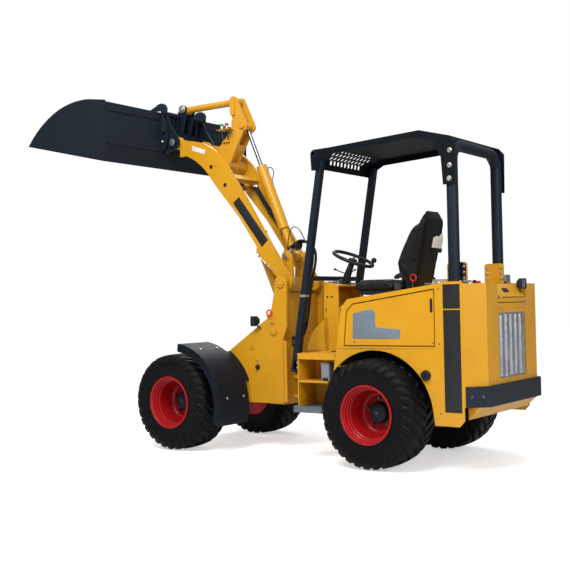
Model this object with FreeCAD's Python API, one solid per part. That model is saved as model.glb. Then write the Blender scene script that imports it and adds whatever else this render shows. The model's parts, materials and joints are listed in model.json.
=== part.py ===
"""Compact articulated wheel loader with a raised twin-plate boom and a light-material bucket.

Millimetres, +Z up, the machine drives towards -Y and its left side is +X.
Outlines in the vertical lengthwise plane are lists of (y, z) points.
"""
import FreeCAD
import Part
import math
import os

V = FreeCAD.Vector

# ---------------------------------------------------------------- driving dimensions
WHEELBASE = 1934.0
TYRE_RADIUS = 400.0
TYRE_WIDTH = 372.0
TRACK_HALF = 550.0
AXLE_HEIGHT = 398.0
RIM_RADIUS = 218.0
DISC_INSET = 42.0
DISC_THICK = 16.0
AXLE_TUBE_RADIUS = 62.0
RUN_GAP = 6.0

BODY_HALF = 565.0
BODY_WALL = 6.0
BODY_FRONT = 628.0
BODY_REAR = 1790.0
BODY_TOP = 1330.0
BODY_BOTTOM = 336.0
SEAM_HEIGHT = 875.0
ARCH_RADIUS = 465.0
REAR_HALF = 430.0
REAR_CORNER_START = 1672.0

PLATFORM_FRONT = 262.0
PLATFORM_TOP = 820.0
PLATFORM_THICK = 45.0
SHELF_TOP = 612.0
STEP_TOP = 402.0

POST_HALF = 388.0
POST_TUBE = 50.0
CROSSBAR_HEIGHT = 1400.0
HOOP_HALF = 370.0
HOOP_RADIUS = 42.0
HOOP_Y = 1520.0
HOOP_TOP = 2322.0
ROOF_HALF = 425.0
ROOF_SHEET = 6.0
LUG_HOLE_RADIUS = 14.0

PIVOT_Y = 0.0
FRAME_HALF = 270.0
FRAME_PLATE = 25.0
ARM_INNER = 175.0
ARM_PLATE = 30.0
EAR_OUTER = 110.0
EAR_PLATE = 25.0

BOOM_PIN = (-112.0, 1375.0)
TILT_BASE_PIN = (-165.0, 1600.0)
LIFT_BASE_PIN = (-190.0, 983.0)
LIFT_TOP_PIN = (-751.0, 2237.0)
CRANK_PIN = (-860.0, 2440.0)
CRANK_ROD_PIN = (-655.0, 2765.0)
CRANK_LINK_PIN = (-759.0, 3000.0)
COUPLER_LINK_PIN = (-1365.0, 3005.0)
COUPLER_PIN = (-1310.0, 2670.0)
BIG_PIN_RADIUS = 22.0
SMALL_PIN_RADIUS = 16.0
FIT = 0.05

BUCKET_HALF = 945.0
BUCKET_SHEET = 10.0
BUCKET_BACK_Y = -1440.0
BUCKET_BACK_TOP = 2955.0
BUCKET_SEAM = 2585.0
BUCKET_HEEL = (-1472.0, 2446.0)
BUCKET_TIP = (-2456.0, 2675.0)

LIFT_BARREL_RADIUS = 50.0
LIFT_BARREL_LENGTH = 690.0
LIFT_ROD_RADIUS = 22.0
TILT_BARREL_RADIUS = 46.0
TILT_ROD_RADIUS = 17.0
TILT_BARREL_END = 868.0

STEER_REAR_PIN = (205.0, 430.0)
STEER_FRONT_PIN = (110.0, -50.0)
STEER_HEIGHT = 700.0

ROOT_HALF_LENGTH = WHEELBASE / 2
REAR_AXLE_Y = ROOT_HALF_LENGTH
FRONT_AXLE_Y = -ROOT_HALF_LENGTH


# ---------------------------------------------------------------- small shape helpers
def box(x0, x1, y0, y1, z0, z1):
    """Block between two corners given in any order."""
    xa, xb = sorted((x0, x1))
    ya, yb = sorted((y0, y1))
    za, zb = sorted((z0, z1))
    return Part.makeBox(xb - xa, yb - ya, zb - za, V(xa, ya, za))


def rod(start, end, radius):
    """Round bar between two points."""
    axis = V(*end) - V(*start)
    return Part.makeCylinder(radius, axis.Length, V(*start), axis)


def pin_x(point, x0, x1, radius):
    """Round bar along X at a (y, z) point."""
    xa, xb = sorted((x0, x1))
    return Part.makeCylinder(radius, xb - xa, V(xa, point[0], point[1]), V(1, 0, 0))


def ring_x(point, x0, x1, outer, inner):
    """Tube along X at a (y, z) point."""
    xa, xb = sorted((x0, x1))
    return pin_x(point, xa, xb, outer).cut(pin_x(point, xa - 1, xb + 1, inner))


def join(shapes):
    """One solid from shapes that touch or overlap."""
    result = shapes[0]
    if len(shapes) > 1:
        result = result.multiFuse(shapes[1:])
    return result.removeSplitter()


def slab_yz(points, x0, x1):
    """Plate whose (y, z) outline runs through straight points, between two x planes."""
    xa, xb = sorted((x0, x1))
    corners = [V(xa, y, z) for y, z in points]
    wire = Part.makePolygon(corners + [corners[0]])
    return Part.Face(wire).extrude(V(xb - xa, 0, 0))


def path_yz(steps, x0, x1):
    """Plate from (y, z) corners and arcs; an arc is ("arc", middle, end)."""
    xa, xb = sorted((x0, x1))
    here = steps[0]
    edges = []
    for step in steps[1:] + [steps[0]]:
        if step[0] == "arc":
            middle, end = step[1], step[2]
            edges.append(Part.Arc(V(xa, *here), V(xa, *middle), V(xa, *end)).toShape())
            here = end
        elif math.dist(here, step) > 0.01:
            edges.append(Part.LineSegment(V(xa, *here), V(xa, *step)).toShape())
            here = step
    return Part.Face(Part.Wire(edges)).extrude(V(xb - xa, 0, 0))


def slab_xy(points, z0, z1):
    """Plate whose (x, y) outline runs through straight points, between two heights."""
    corners = [V(x, y, z0) for x, y in points]
    wire = Part.makePolygon(corners + [corners[0]])
    return Part.Face(wire).extrude(V(0, 0, z1 - z0))


def toward(start, end, distance):
    """The (y, z) point at a distance from start on the way to end."""
    length = math.dist(start, end)
    return tuple(a + (b - a) * distance / length for a, b in zip(start, end))


def bar_yz(start, end, x, radius):
    """Round bar in the plane x between two (y, z) points."""
    return rod((x, *start), (x, *end), radius)


# ---------------------------------------------------------------- wheels
def tyre(side, axle_y):
    """Wide flotation tyre, filled in to the rim so that it stands as one round body."""
    x0, x1 = TRACK_HALF - TYRE_WIDTH / 2, TRACK_HALF + TYRE_WIDTH / 2
    shoulder = 46.0
    bead = RIM_RADIUS + 4.0
    rim_half = TYRE_WIDTH / 2 - 20.0
    profile = [
        (TRACK_HALF - rim_half, bead),
        (x0 + 6, bead + 34),
        (x0, TYRE_RADIUS - 92),
        (x0 + 12, TYRE_RADIUS - shoulder),
        (x0 + shoulder, TYRE_RADIUS - 12),
        (TRACK_HALF, TYRE_RADIUS),
        (x1 - shoulder, TYRE_RADIUS - 12),
        (x1 - 12, TYRE_RADIUS - shoulder),
        (x1, TYRE_RADIUS - 92),
        (x1 - 6, bead + 34),
        (TRACK_HALF + rim_half, bead),
    ]
    corners = [V(side * x, axle_y, AXLE_HEIGHT + r) for x, r in profile]
    face = Part.Face(Part.makePolygon(corners + [corners[0]]))
    return face.revolve(V(0, axle_y, AXLE_HEIGHT), V(1, 0, 0), 360)


def rim(side, axle_y):
    """Deep dished rim: barrel, flanges, disc set well inside, hub cap."""
    half = TYRE_WIDTH / 2 - 20.0
    barrel = RIM_RADIUS - 16.0
    disc_out = TRACK_HALF - DISC_INSET
    profile = [
        (TRACK_HALF - half, RIM_RADIUS + 3.5),
        (TRACK_HALF + half, RIM_RADIUS + 3.5),
        (TRACK_HALF + half, barrel + 4),
        (TRACK_HALF + half - 20, barrel - 6),
        (disc_out + 60, barrel - 12),
        (disc_out + 34, barrel - 48),
        (disc_out, barrel - 62),
        (disc_out, 76.0),
        (disc_out + 46, 70.0),
        (disc_out + 60, 56.0),
        (disc_out + 60, 0.0),
        (disc_out - DISC_THICK, 0.0),
        (disc_out - DISC_THICK, barrel - 52),
        (disc_out + 20, barrel - 36),
        (disc_out + 40, barrel - 2),
        (TRACK_HALF - half, barrel + 2),
    ]
    corners = [V(side * x, axle_y, AXLE_HEIGHT + r) for x, r in profile]
    face = Part.Face(Part.makePolygon(corners + [corners[0]]))
    return face.revolve(V(0, axle_y, AXLE_HEIGHT), V(1, 0, 0), 360)


DISC_INNER = TRACK_HALF - DISC_INSET - DISC_THICK


def axle(axle_y, tower_top):
    """Drive axle: tube, centre housing, hub flanges just clear of the wheel discs, mounting pads."""
    centre = (axle_y, AXLE_HEIGHT)
    parts = [pin_x(centre, -DISC_INNER + 40, DISC_INNER - 40, AXLE_TUBE_RADIUS)]
    parts.append(pin_x(centre, -60, 60, 118))
    for side in (-1, 1):
        start, way = V(side * 60, axle_y, AXLE_HEIGHT), V(side, 0, 0)
        parts.append(Part.makeCone(118, AXLE_TUBE_RADIUS + 6, 90, start, way))
    for side in (-1, 1):
        parts.append(pin_x(centre, side * (DISC_INNER - 60), side * (DISC_INNER - RUN_GAP), 108.0))
        pad_x = side * (FRAME_HALF - 60)
        parts.append(box(pad_x - 55, pad_x + 55, axle_y - PAD_HALF, axle_y + PAD_HALF, AXLE_HEIGHT, tower_top))
    return join(parts)


# ---------------------------------------------------------------- rear frame and body
TONGUE_LOW = 455.0
TONGUE_HIGH = 575.0
HINGE_RADIUS = 62.0
KING_PIN_RADIUS = 20.0
RAIL_HALF = 235.0
RAIL_LOW = 470.0
RAIL_HIGH = 610.0
PAD_GAP = 0.3
AXLE_PAD_TOP = RAIL_LOW - PAD_GAP
PAD_HALF = 75.0


def rear_chassis():
    """Two rails, cross plates and the hinge tongue that the front frame's yoke takes hold of."""
    parts = []
    for side in (-1, 1):
        parts.append(box(side * (RAIL_HALF - 70), side * RAIL_HALF, 270, 1640, RAIL_LOW, RAIL_HIGH))
    parts.append(box(-RAIL_HALF, RAIL_HALF, 250, 290, TONGUE_LOW - 10, STEER_HEIGHT - 39))
    parts.append(box(-RAIL_HALF, RAIL_HALF, 1600, 1640, RAIL_LOW, RAIL_HIGH))
    parts.append(box(-RAIL_HALF, RAIL_HALF, 700, 730, RAIL_LOW, RAIL_HIGH))
    parts.append(box(-52, 52, PIVOT_Y, 260, TONGUE_LOW, TONGUE_HIGH))
    hub = Part.makeCylinder(HINGE_RADIUS, TONGUE_HIGH - TONGUE_LOW, V(0, PIVOT_Y, TONGUE_LOW))
    parts.append(hub)
    lug_x, lug_y = STEER_REAR_PIN
    parts.append(box(lug_x - 30, lug_x + 30, 270, lug_y + 40, STEER_HEIGHT - 40, STEER_HEIGHT - 28))
    parts.append(box(lug_x - 30, lug_x + 30, lug_y - 30, lug_y + 40, STEER_HEIGHT + 28, STEER_HEIGHT + 40))
    parts.append(box(lug_x - 30, lug_x + 30, lug_y + 32, lug_y + 44, STEER_HEIGHT - 40, STEER_HEIGHT + 40))
    chassis = join(parts)
    bore = Part.makeCylinder(KING_PIN_RADIUS + FIT, 400, V(0, PIVOT_Y, TONGUE_LOW - 100))
    return chassis.cut(bore)


def side_outline(bottom_front):
    """Body side in (y, z): arched over the wheel, sloping up behind the driver."""
    arch = REAR_AXLE_Y
    steps = [
        (BODY_FRONT, SEAM_HEIGHT),
        (596.0, bottom_front),
        ("arc", (arch, AXLE_HEIGHT + ARCH_RADIUS - 10), (arch + ARCH_RADIUS, 423.0)),
        (arch + ARCH_RADIUS + 12, BODY_BOTTOM),
        (1633.0, BODY_BOTTOM),
        (REAR_CORNER_START, 380.0),
        (REAR_CORNER_START, BODY_TOP),
        (1518.0, BODY_TOP),
        (731.0, 1229.0),
        (680.0, 1176.0),
        (640.0, 963.0),
    ]
    return steps


DOOR_GAP = 8.0
DOOR_DEPTH = 18.0
DOOR_OUTLINE = [
    (691.0, 880.0),
    (719.0, 1142.0),
    (774.0, 1196.0),
    (1459.0, 1292.0),
    (1457.0, 884.0),
]


def shrink(points, gap):
    """Outline moved inward by a gap, for a convex outline."""
    cy = sum(p[0] for p in points) / len(points)
    cz = sum(p[1] for p in points) / len(points)
    moved = []
    count = len(points)
    for i in range(count):
        lines = []
        for a, b in ((points[i - 1], points[i]), (points[i], points[(i + 1) % count])):
            ny, nz = -(b[1] - a[1]), b[0] - a[0]
            length = math.hypot(ny, nz)
            ny, nz = ny / length, nz / length
            if (cy - a[0]) * ny + (cz - a[1]) * nz < 0:
                ny, nz = -ny, -nz
            lines.append((ny, nz, ny * (a[0] + ny * gap) + nz * (a[1] + nz * gap)))
        (a1, b1, c1), (a2, b2, c2) = lines
        det = a1 * b2 - a2 * b1
        moved.append(((c1 * b2 - c2 * b1) / det, (a1 * c2 - a2 * c1) / det))
    return moved


def body_panels():
    """Left and right body sides with the door openings cut out and an inner arch guard."""
    panels = []
    for side in (-1, 1):
        sheet = path_yz(side_outline(691.0), side * (BODY_HALF - BODY_WALL), side * BODY_HALF)
        opening = slab_yz(DOOR_OUTLINE, side * (BODY_HALF - 60), side * (BODY_HALF + 20))
        sheet = sheet.cut(opening)
        panels.append(sheet)
        inner = BODY_HALF - BODY_WALL
        arch = (REAR_AXLE_Y, AXLE_HEIGHT)
        liner = ring_x(arch, side * 300, side * (inner + 1), ARCH_RADIUS + 4, ARCH_RADIUS)
        liner = liner.common(box(side * 250, side * 600, 648, REAR_AXLE_Y + ARCH_RADIUS + 10, 440, 1000))
        front = box(side * 300, side * (inner + 1), 640, 648, 722, 1100)
        panels[-1] = join([sheet, liner, front])
    return Part.makeCompound(panels)


def door(side):
    """Engine-side door, a pressed panel that swings up about its sloping top edge."""
    outline = shrink(DOOR_OUTLINE, DOOR_GAP)
    panel = slab_yz(outline, side * (BODY_HALF - DOOR_DEPTH), side * (BODY_HALF - 1))
    hollow = slab_yz(shrink(outline, 18.0), side * (BODY_HALF - DOOR_DEPTH - 1), side * (BODY_HALF - 5))
    return panel.cut(hollow)


def hood_top():
    """Deck under and behind the seat, between the body sides."""
    inner = BODY_HALF - BODY_WALL - 0.3
    deck = [
        (660.0, 1168.0),
        (735.0, 1222.0),
        (1518.0, BODY_TOP - 6),
        (1600.0, BODY_TOP - 6),
        (1600.0, BODY_TOP - 14),
        (1518.0, BODY_TOP - 14),
        (741.0, 1214.0),
        (668.0, 1162.0),
    ]
    sheet = slab_yz(deck, -inner, inner)
    front = box(-inner, inner, 655, 663, PLATFORM_TOP + 0.5, 1166)
    return join([sheet, front])


def rear_plan(offset):
    """Plan of the rear shell: straight sides, chamfered corners, straight back."""
    return [
        (BODY_HALF - offset, REAR_CORNER_START),
        (BODY_HALF - offset, REAR_CORNER_START + 10),
        (REAR_HALF - offset * 0.4, BODY_REAR - offset),
        (-REAR_HALF + offset * 0.4, BODY_REAR - offset),
        (-BODY_HALF + offset, REAR_CORNER_START + 10),
        (-BODY_HALF + offset, REAR_CORNER_START),
    ]


GRILLE_HALF = 240.0
GRILLE_LOW = 648.0
GRILLE_HIGH = 1112.0
LID_HALF = 250.0
LID_LOW = 1218.0


def rear_cover():
    """Rear shell with chamfered corners, open for the radiator grille and the top lid."""
    outer = slab_xy(rear_plan(0.0), 470.0, 1322.0)
    inner = slab_xy(rear_plan(8.0), 460.0, 1314.0)
    shell = outer.cut(inner.cut(box(-600, 600, 1000, 1600, 0, 2000)))
    shell = shell.cut(box(-GRILLE_HALF, GRILLE_HALF, 1700, 1900, GRILLE_LOW, GRILLE_HIGH))
    lid_cut = slab_yz([(1600, 1400), (1600, 1322.5), (1690, 1322.5), (1900, LID_LOW), (1900, 1400)],
                      -LID_HALF, LID_HALF)
    shell = shell.cut(lid_cut)
    shell = shell.cut(box(-LID_HALF, LID_HALF, REAR_CORNER_START + 4, BODY_REAR + 5, LID_LOW, 1400))
    ledge = box(-LID_HALF - 10, LID_HALF + 10, BODY_REAR - 60, BODY_REAR - 8, LID_LOW - 12, LID_LOW - 2)
    skirt = slab_yz([(REAR_CORNER_START, 380), (1767, 466), (1767, 470.0), (REAR_CORNER_START, 470.0)],
                    -BODY_HALF + 60, BODY_HALF - 60)
    return join([shell, ledge, skirt])


def rear_lid():
    """Sloping service lid over the radiator, hinged along its upper edge."""
    gap = 3.0
    outline = [
        (REAR_CORNER_START + 10, 1319.0),
        (BODY_REAR - 62, 1319.0),
        (BODY_REAR - 4, LID_LOW + 6),
        (BODY_REAR - 14, LID_LOW + 6),
        (BODY_REAR - 70, 1310.0),
        (REAR_CORNER_START + 10, 1310.0),
    ]
    return slab_yz(outline, -LID_HALF + gap, LID_HALF - gap)


def radiator_grille():
    """Corrugated guard in the rear opening."""
    plate = box(-GRILLE_HALF - 10, GRILLE_HALF + 10, BODY_REAR - 18, BODY_REAR - 8.3,
                GRILLE_LOW - 8, GRILLE_HIGH + 8)
    ribs = []
    count = 5
    pitch = (2 * GRILLE_HALF - 60) / count
    for index in range(count):
        x = -GRILLE_HALF + 30 + pitch * (index + 0.5)
        ribs.append(box(x - pitch * 0.3, x + pitch * 0.3, BODY_REAR - 9, BODY_REAR + 4,
                        GRILLE_LOW + 12, GRILLE_HIGH - 12))
    return join([plate] + ribs)


BUMPER_LOW = 470.0
BUMPER_HIGH = 613.0
BUMPER_OUT = 24.0


def rear_bumper():
    """Counterweight bumper that wraps the rear corners."""
    plan = [
        (BODY_HALF + 4, REAR_CORNER_START + 12),
        (REAR_HALF + 16, BODY_REAR + BUMPER_OUT),
        (-REAR_HALF - 16, BODY_REAR + BUMPER_OUT),
        (-BODY_HALF - 4, REAR_CORNER_START + 12),
        (-BODY_HALF - 0.5, REAR_CORNER_START + 10.6),
        (-REAR_HALF - 0.5, BODY_REAR + 0.5),
        (REAR_HALF + 0.5, BODY_REAR + 0.5),
        (BODY_HALF + 0.5, REAR_CORNER_START + 10.6),
    ]
    return slab_xy(plan, BUMPER_LOW, BUMPER_HIGH)


def engine_block():
    """Engine, pump and cooler as one plain mass between the rails."""
    return box(-220, 220, 900, 1560, RAIL_HIGH + 0.3, 1130)


def platform():
    """Driver's floor with side hangers, the step shelf and the feet of the canopy posts."""
    hang_x = BODY_HALF - 25
    parts = [box(-BODY_HALF, BODY_HALF, PLATFORM_FRONT, BODY_FRONT - 18.0,
                 PLATFORM_TOP - PLATFORM_THICK, PLATFORM_TOP)]
    parts.append(box(-RAIL_HALF, RAIL_HALF, 500, 600, RAIL_HIGH + 0.3, PLATFORM_TOP - PLATFORM_THICK + 1))
    for side in (-1, 1):
        parts.append(box(side * 330, side * BODY_HALF, PLATFORM_FRONT, PLATFORM_FRONT + 8,
                         STEP_TOP - 1, PLATFORM_TOP - 10))
        parts.append(box(side * 330, side * 338, PLATFORM_FRONT, 560, STEP_TOP - 1, PLATFORM_TOP - 10))
        parts.append(box(side * 300, side * BODY_HALF, PLATFORM_FRONT, 540, SHELF_TOP - 14, SHELF_TOP))
        parts.append(box(side * 332, side * BODY_HALF, PLATFORM_FRONT - 40, 480, STEP_TOP - 36, STEP_TOP))
        foot = POST_HALF - POST_TUBE / 2 - 0.3
        parts.append(slab_yz([(60, 700), (PLATFORM_FRONT + 4, 640), (PLATFORM_FRONT + 4, 815), (90, 815)],
                             side * foot, side * (foot - 12)))
        parts.append(box(side * (foot - 12), side * 340, PLATFORM_FRONT - 8, PLATFORM_FRONT + 4, 640, 815))
    return join(parts)


def dash_console():
    """Firewall box in front of the driver, standing on the floor."""
    outline = [
        (262.0, PLATFORM_TOP + 0.3),
        (258.0, 1100.0),
        (264.0, console_top(264.0)),
        (400.0, console_top(400.0)),
        (408.0, PLATFORM_TOP + 0.3),
    ]
    shell = slab_yz(outline, -190, 190)
    hollow = slab_yz([(274, 700), (270, 1100), (276, 1358), (420, 1328), (420, 700)], -180, 180)
    return shell.cut(hollow)


WHEEL_TILT = 24.0
WHEEL_CENTRE = (428.0, 1555.0)
WHEEL_AXIS = V(0, -math.sin(math.radians(WHEEL_TILT)), -math.cos(math.radians(WHEEL_TILT)))


def console_top(y):
    """Height of the console's sloping top at a distance back from the pivot."""
    return 1372.0 - (y - 264.0) * (1372.0 - 1345.0) / (400.0 - 264.0)


def steering_column():
    """Tapered column from the console's top up to the steering wheel's hub."""
    top = V(0, *WHEEL_CENTRE) + WHEEL_AXIS * 46
    low = V(0, *WHEEL_CENTRE) + WHEEL_AXIS * 250
    cone = Part.makeCone(36, 24, (top - low).Length, low, top - low)
    shaft = Part.makeCylinder(9, 40, top, WHEEL_AXIS * -1)
    collar = Part.makeCylinder(52, 50, low, WHEEL_AXIS * -1)
    console = slab_yz([(150, 700), (150, console_top(150) + 0.3), (500, console_top(500) + 0.3), (500, 700)],
                      -200, 200)
    return join([cone, shaft, collar]).cut(console)


def steering_wheel():
    """Rim, three spokes, hub and spinner knob."""
    centre = V(0, *WHEEL_CENTRE)
    up = WHEEL_AXIS * -1
    ring = Part.makeTorus(166, 14, centre, up)
    hub_base = centre + WHEEL_AXIS * 40
    hub = Part.makeCylinder(36, 32, hub_base, up)
    bore = Part.makeCylinder(9 + FIT, 41, hub_base + WHEEL_AXIS * 1, up)
    across = V(1, 0, 0)
    along = up.cross(across)
    parts = [ring, hub]
    for angle in (90, 210, 330):
        out = across * math.cos(math.radians(angle)) + along * math.sin(math.radians(angle))
        start = centre + WHEEL_AXIS * 22 + out * 28
        end = centre + out * 166
        parts.append(Part.makeCylinder(9, (end - start).Length, start, end - start))
    knob_at = centre + along * 150 + across * -64
    parts.append(Part.makeCylinder(8, 34, knob_at, up))
    parts.append(Part.makeSphere(22, knob_at + up * 48))
    wheel = join(parts)
    return wheel.cut(bore)


SEAT_FRONT = 560.0
SEAT_HALF = 235.0
SEAT_Z = 1300.0


def seat_base():
    """Seat rails and pan on the deck."""
    pan = slab_yz([(610, 1262), (1040, 1262), (1075, 1290), (590, 1290)], -200, 200)
    legs = [box(side * 130, side * 160, 760, 1030, 1222, 1263) for side in (-1, 1)]
    deck = slab_yz([(735, 1222.3), (1518, BODY_TOP - 5.7), (1518, 1500), (735, 1500)], -300, 300)
    legs = [leg.common(deck) for leg in legs]
    return join([pan] + legs)


def seat_cushion():
    """Seat cushion as a plain soft block."""
    outline = [
        (SEAT_FRONT, SEAT_Z + 10),
        (SEAT_FRONT + 30, SEAT_Z + 78),
        (900, SEAT_Z + 72),
        (930, SEAT_Z + 2),
        (900, 1290.3),
        (600, 1290.3),
    ]
    return slab_yz(outline, -SEAT_HALF, SEAT_HALF)


def seat_back():
    """Backrest as a plain soft block, leaning rearwards."""
    outline = [
        (940, 1290.3),
        (1075, 1290.3),
        (1190, 1840),
        (1165, 1915),
        (1110, 1912),
        (1080, 1840),
        (905, 1500),
        (930, 1380),
    ]
    return slab_yz(outline, -220, 220)


def tube_route(points, radius, bend):
    """Round bar along straight runs with round bends; ends at the first and last point."""
    edges = []
    here = V(*points[0])
    for index in range(1, len(points) - 1):
        corner, before, after = V(*points[index]), V(*points[index - 1]), V(*points[index + 1])
        into = (corner - before).normalize()
        out = (after - corner).normalize()
        turn = into.getAngle(out)
        cut = bend * math.tan(turn / 2)
        start, end = corner - into * cut, corner + out * cut
        middle_dir = (out - into).normalize()
        middle = corner + middle_dir * (bend / math.cos(turn / 2) - bend)
        edges.append(Part.LineSegment(here, start).toShape())
        edges.append(Part.Arc(start, middle, end).toShape())
        here = end
    edges.append(Part.LineSegment(here, V(*points[-1])).toShape())
    spine = Part.Wire(edges)
    first = (V(*points[1]) - V(*points[0])).normalize()
    circle = Part.Circle(V(*points[0]), first, radius).toShape()
    return spine.makePipeShell([Part.Wire(circle)], True, True)


FOOT_PLATE = 12.0
FOOT_TOP = 150.0


def foot_plate(inner, front, rear, low, high):
    """Upright foot plate with rounded top corners, from its inner face outwards."""
    r = 22.0
    c = r * (1 - math.sqrt(0.5))
    outline = [(front, low), (front, high - r), ("arc", (front + c, high - c), (front + r, high)),
               (rear - r, high), ("arc", (rear - c, high - c), (rear, high - r)), (rear, low)]
    return path_yz(outline, inner, inner + math.copysign(FOOT_PLATE, inner))


def rops_hoop():
    """Rear roll hoop: one bent tube with a foot plate welded to the inner side of each leg."""
    foot = BODY_TOP + 10
    tube = tube_route([
        (HOOP_HALF, HOOP_Y, foot),
        (HOOP_HALF, HOOP_Y, HOOP_TOP),
        (-HOOP_HALF, HOOP_Y, HOOP_TOP),
        (-HOOP_HALF, HOOP_Y, foot),
    ], HOOP_RADIUS, 120.0)
    plates = []
    for side in (-1, 1):
        inner = side * (HOOP_HALF - HOOP_RADIUS + 2 - FOOT_PLATE)
        plates.append(foot_plate(inner, HOOP_Y - 72, HOOP_Y + 66, foot, BODY_TOP + FOOT_TOP - 8))
    return join([tube] + plates)


def rops_brackets():
    """Feet of the roll hoop: an upright plate inside each leg's foot plate, on a base plate."""
    parts = []
    for side in (-1, 1):
        inner = side * (HOOP_HALF - HOOP_RADIUS + 2 - 2 * FOOT_PLATE - PAD_GAP)
        base = box(inner, side * (HOOP_HALF + 60), HOOP_Y - 84, HOOP_Y + 78, BODY_TOP - 5.7, BODY_TOP + 9.7)
        upright = foot_plate(inner, HOOP_Y - 84, HOOP_Y + 72, BODY_TOP, BODY_TOP + FOOT_TOP)
        parts.append(join([base, upright]))
    return Part.makeCompound(parts)


ROOF_FRONT_LOW = (352.0, 2262.0)
ROOF_FRONT = (372.0, 2345.0)
ROOF_FRONT_BEND = (466.0, 2403.0)
ROOF_REAR_BEND = (1288.0, 2442.0)
ROOF_REAR = (1530.0, 2376.0)


SLOT_COUNTS = (9, 10, 11, 10)
SLOT_FIRST = 60.0
SLOT_STEP = 45.0
SLOT_PITCH = 51.0
SLOT_WIDTH = 27.0
SLOT_LENGTH = 38.0


def on_line(line, distance):
    """The (y, z) point at a distance along a bent line, and the way the line runs there."""
    for start, end in zip(line, line[1:]):
        length = math.dist(start, end)
        if distance <= length:
            break
        distance -= length
    return toward(start, end, distance), toward((0, 0), (end[0] - start[0], end[1] - start[1]), 1.0)


def slot(x, centre, way):
    """Cutter for one round-ended slot that runs square through the roof sheet."""
    half, r = (SLOT_LENGTH - SLOT_WIDTH) / 2, SLOT_WIDTH / 2
    run, out = V(0, *way), V(0, -way[1], way[0])
    middle = V(x, *centre) - out * 20
    low, high = middle - run * half, middle + run * half
    side = V(r, 0, 0)
    edges = [
        Part.LineSegment(low + side, high + side).toShape(),
        Part.Arc(high + side, high + run * r, high - side).toShape(),
        Part.LineSegment(high - side, low - side).toShape(),
        Part.Arc(low - side, low - run * r, low + side).toShape(),
    ]
    return Part.Face(Part.Wire(edges)).extrude(out * 40)


def canopy_roof():
    """Roof sheet, front visor with its slots, side plates that bolt to the hoop, and lifting lugs."""
    line = [ROOF_FRONT_LOW, ROOF_FRONT, ROOF_FRONT_BEND, ROOF_REAR_BEND, ROOF_REAR]
    under = [(y + 2.5, z - ROOF_SHEET) for y, z in reversed(line)]
    sheet = slab_yz(line + under, -ROOF_HALF, ROOF_HALF)
    parts = [sheet]
    for side in (-1, 1):
        inner = side * (ROOF_HALF - ROOF_SHEET)
        outer = side * ROOF_HALF
        rail = [
            (ROOF_FRONT[0], ROOF_FRONT[1] - 2),
            (ROOF_FRONT_BEND[0], ROOF_FRONT_BEND[1] - 2),
            (ROOF_REAR_BEND[0], ROOF_REAR_BEND[1] - 2),
            (ROOF_REAR[0], ROOF_REAR[1] - 2),
            (ROOF_REAR[0] + 40, 2330.0),
            (HOOP_Y + 46, 2030.0),
            (HOOP_Y - 46, 2030.0),
            (HOOP_Y - 60, 2230.0),
            (1400.0, 2350.0),
            (1250.0, 2392.0),
            (480.0, 2352.0),
            (400.0, 2310.0),
        ]
        parts.append(slab_yz(rail, inner, outer))
        lug = path_yz([
            (330.0, 2240.0), (322.0, 2372.0), ("arc", (342.0, 2398.0), (372.0, 2402.0)),
            (470.0, 2404.0), (430.0, 2340.0), (400.0, 2310.0), (395.0, 2240.0),
        ], side * (POST_HALF + POST_TUBE / 2 + 0.3), outer)
        parts.append(lug)
        parts.append(box(side * (HOOP_HALF + HOOP_RADIUS + 0.3), side * (ROOF_HALF - 1),
                         HOOP_Y - 30, HOOP_Y + 30, 2045, 2215))
    roof = join(parts)
    holes = []
    for side in (-1, 1):
        holes.append(pin_x((352.0, 2372.0), side * (ROOF_HALF - 40), side * (ROOF_HALF + 20),
                           LUG_HOLE_RADIUS))
    for row, count in enumerate(SLOT_COUNTS):
        centre, way = on_line(line, SLOT_FIRST + row * SLOT_STEP)
        for column in range(count):
            holes.append(slot((column - (count - 1) / 2) * SLOT_PITCH, centre, way))
    return roof.cut(Part.makeCompound(holes))


def canopy_posts():
    """Two leaning front posts of square tube and the crossbar between them."""
    lean = (384.0 - 239.0) / (2228.0 - 1403.0)
    parts = []
    half = POST_TUBE / 2
    low, high = 660.0, 2330.0

    def at(z):
        return 239.0 + (z - 1403.0) * lean
    for side in (-1, 1):
        outline = [(at(low) - half, low), (at(low) + half, low), (at(high) + half, high),
                   (at(high) - half, high)]
        parts.append(slab_yz(outline, side * (POST_HALF - half), side * (POST_HALF + half)))
    parts.append(box(-POST_HALF, POST_HALF, at(CROSSBAR_HEIGHT) - 18, at(CROSSBAR_HEIGHT) + 18,
                     CROSSBAR_HEIGHT - 18, CROSSBAR_HEIGHT + 18))
    return join(parts)


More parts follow.
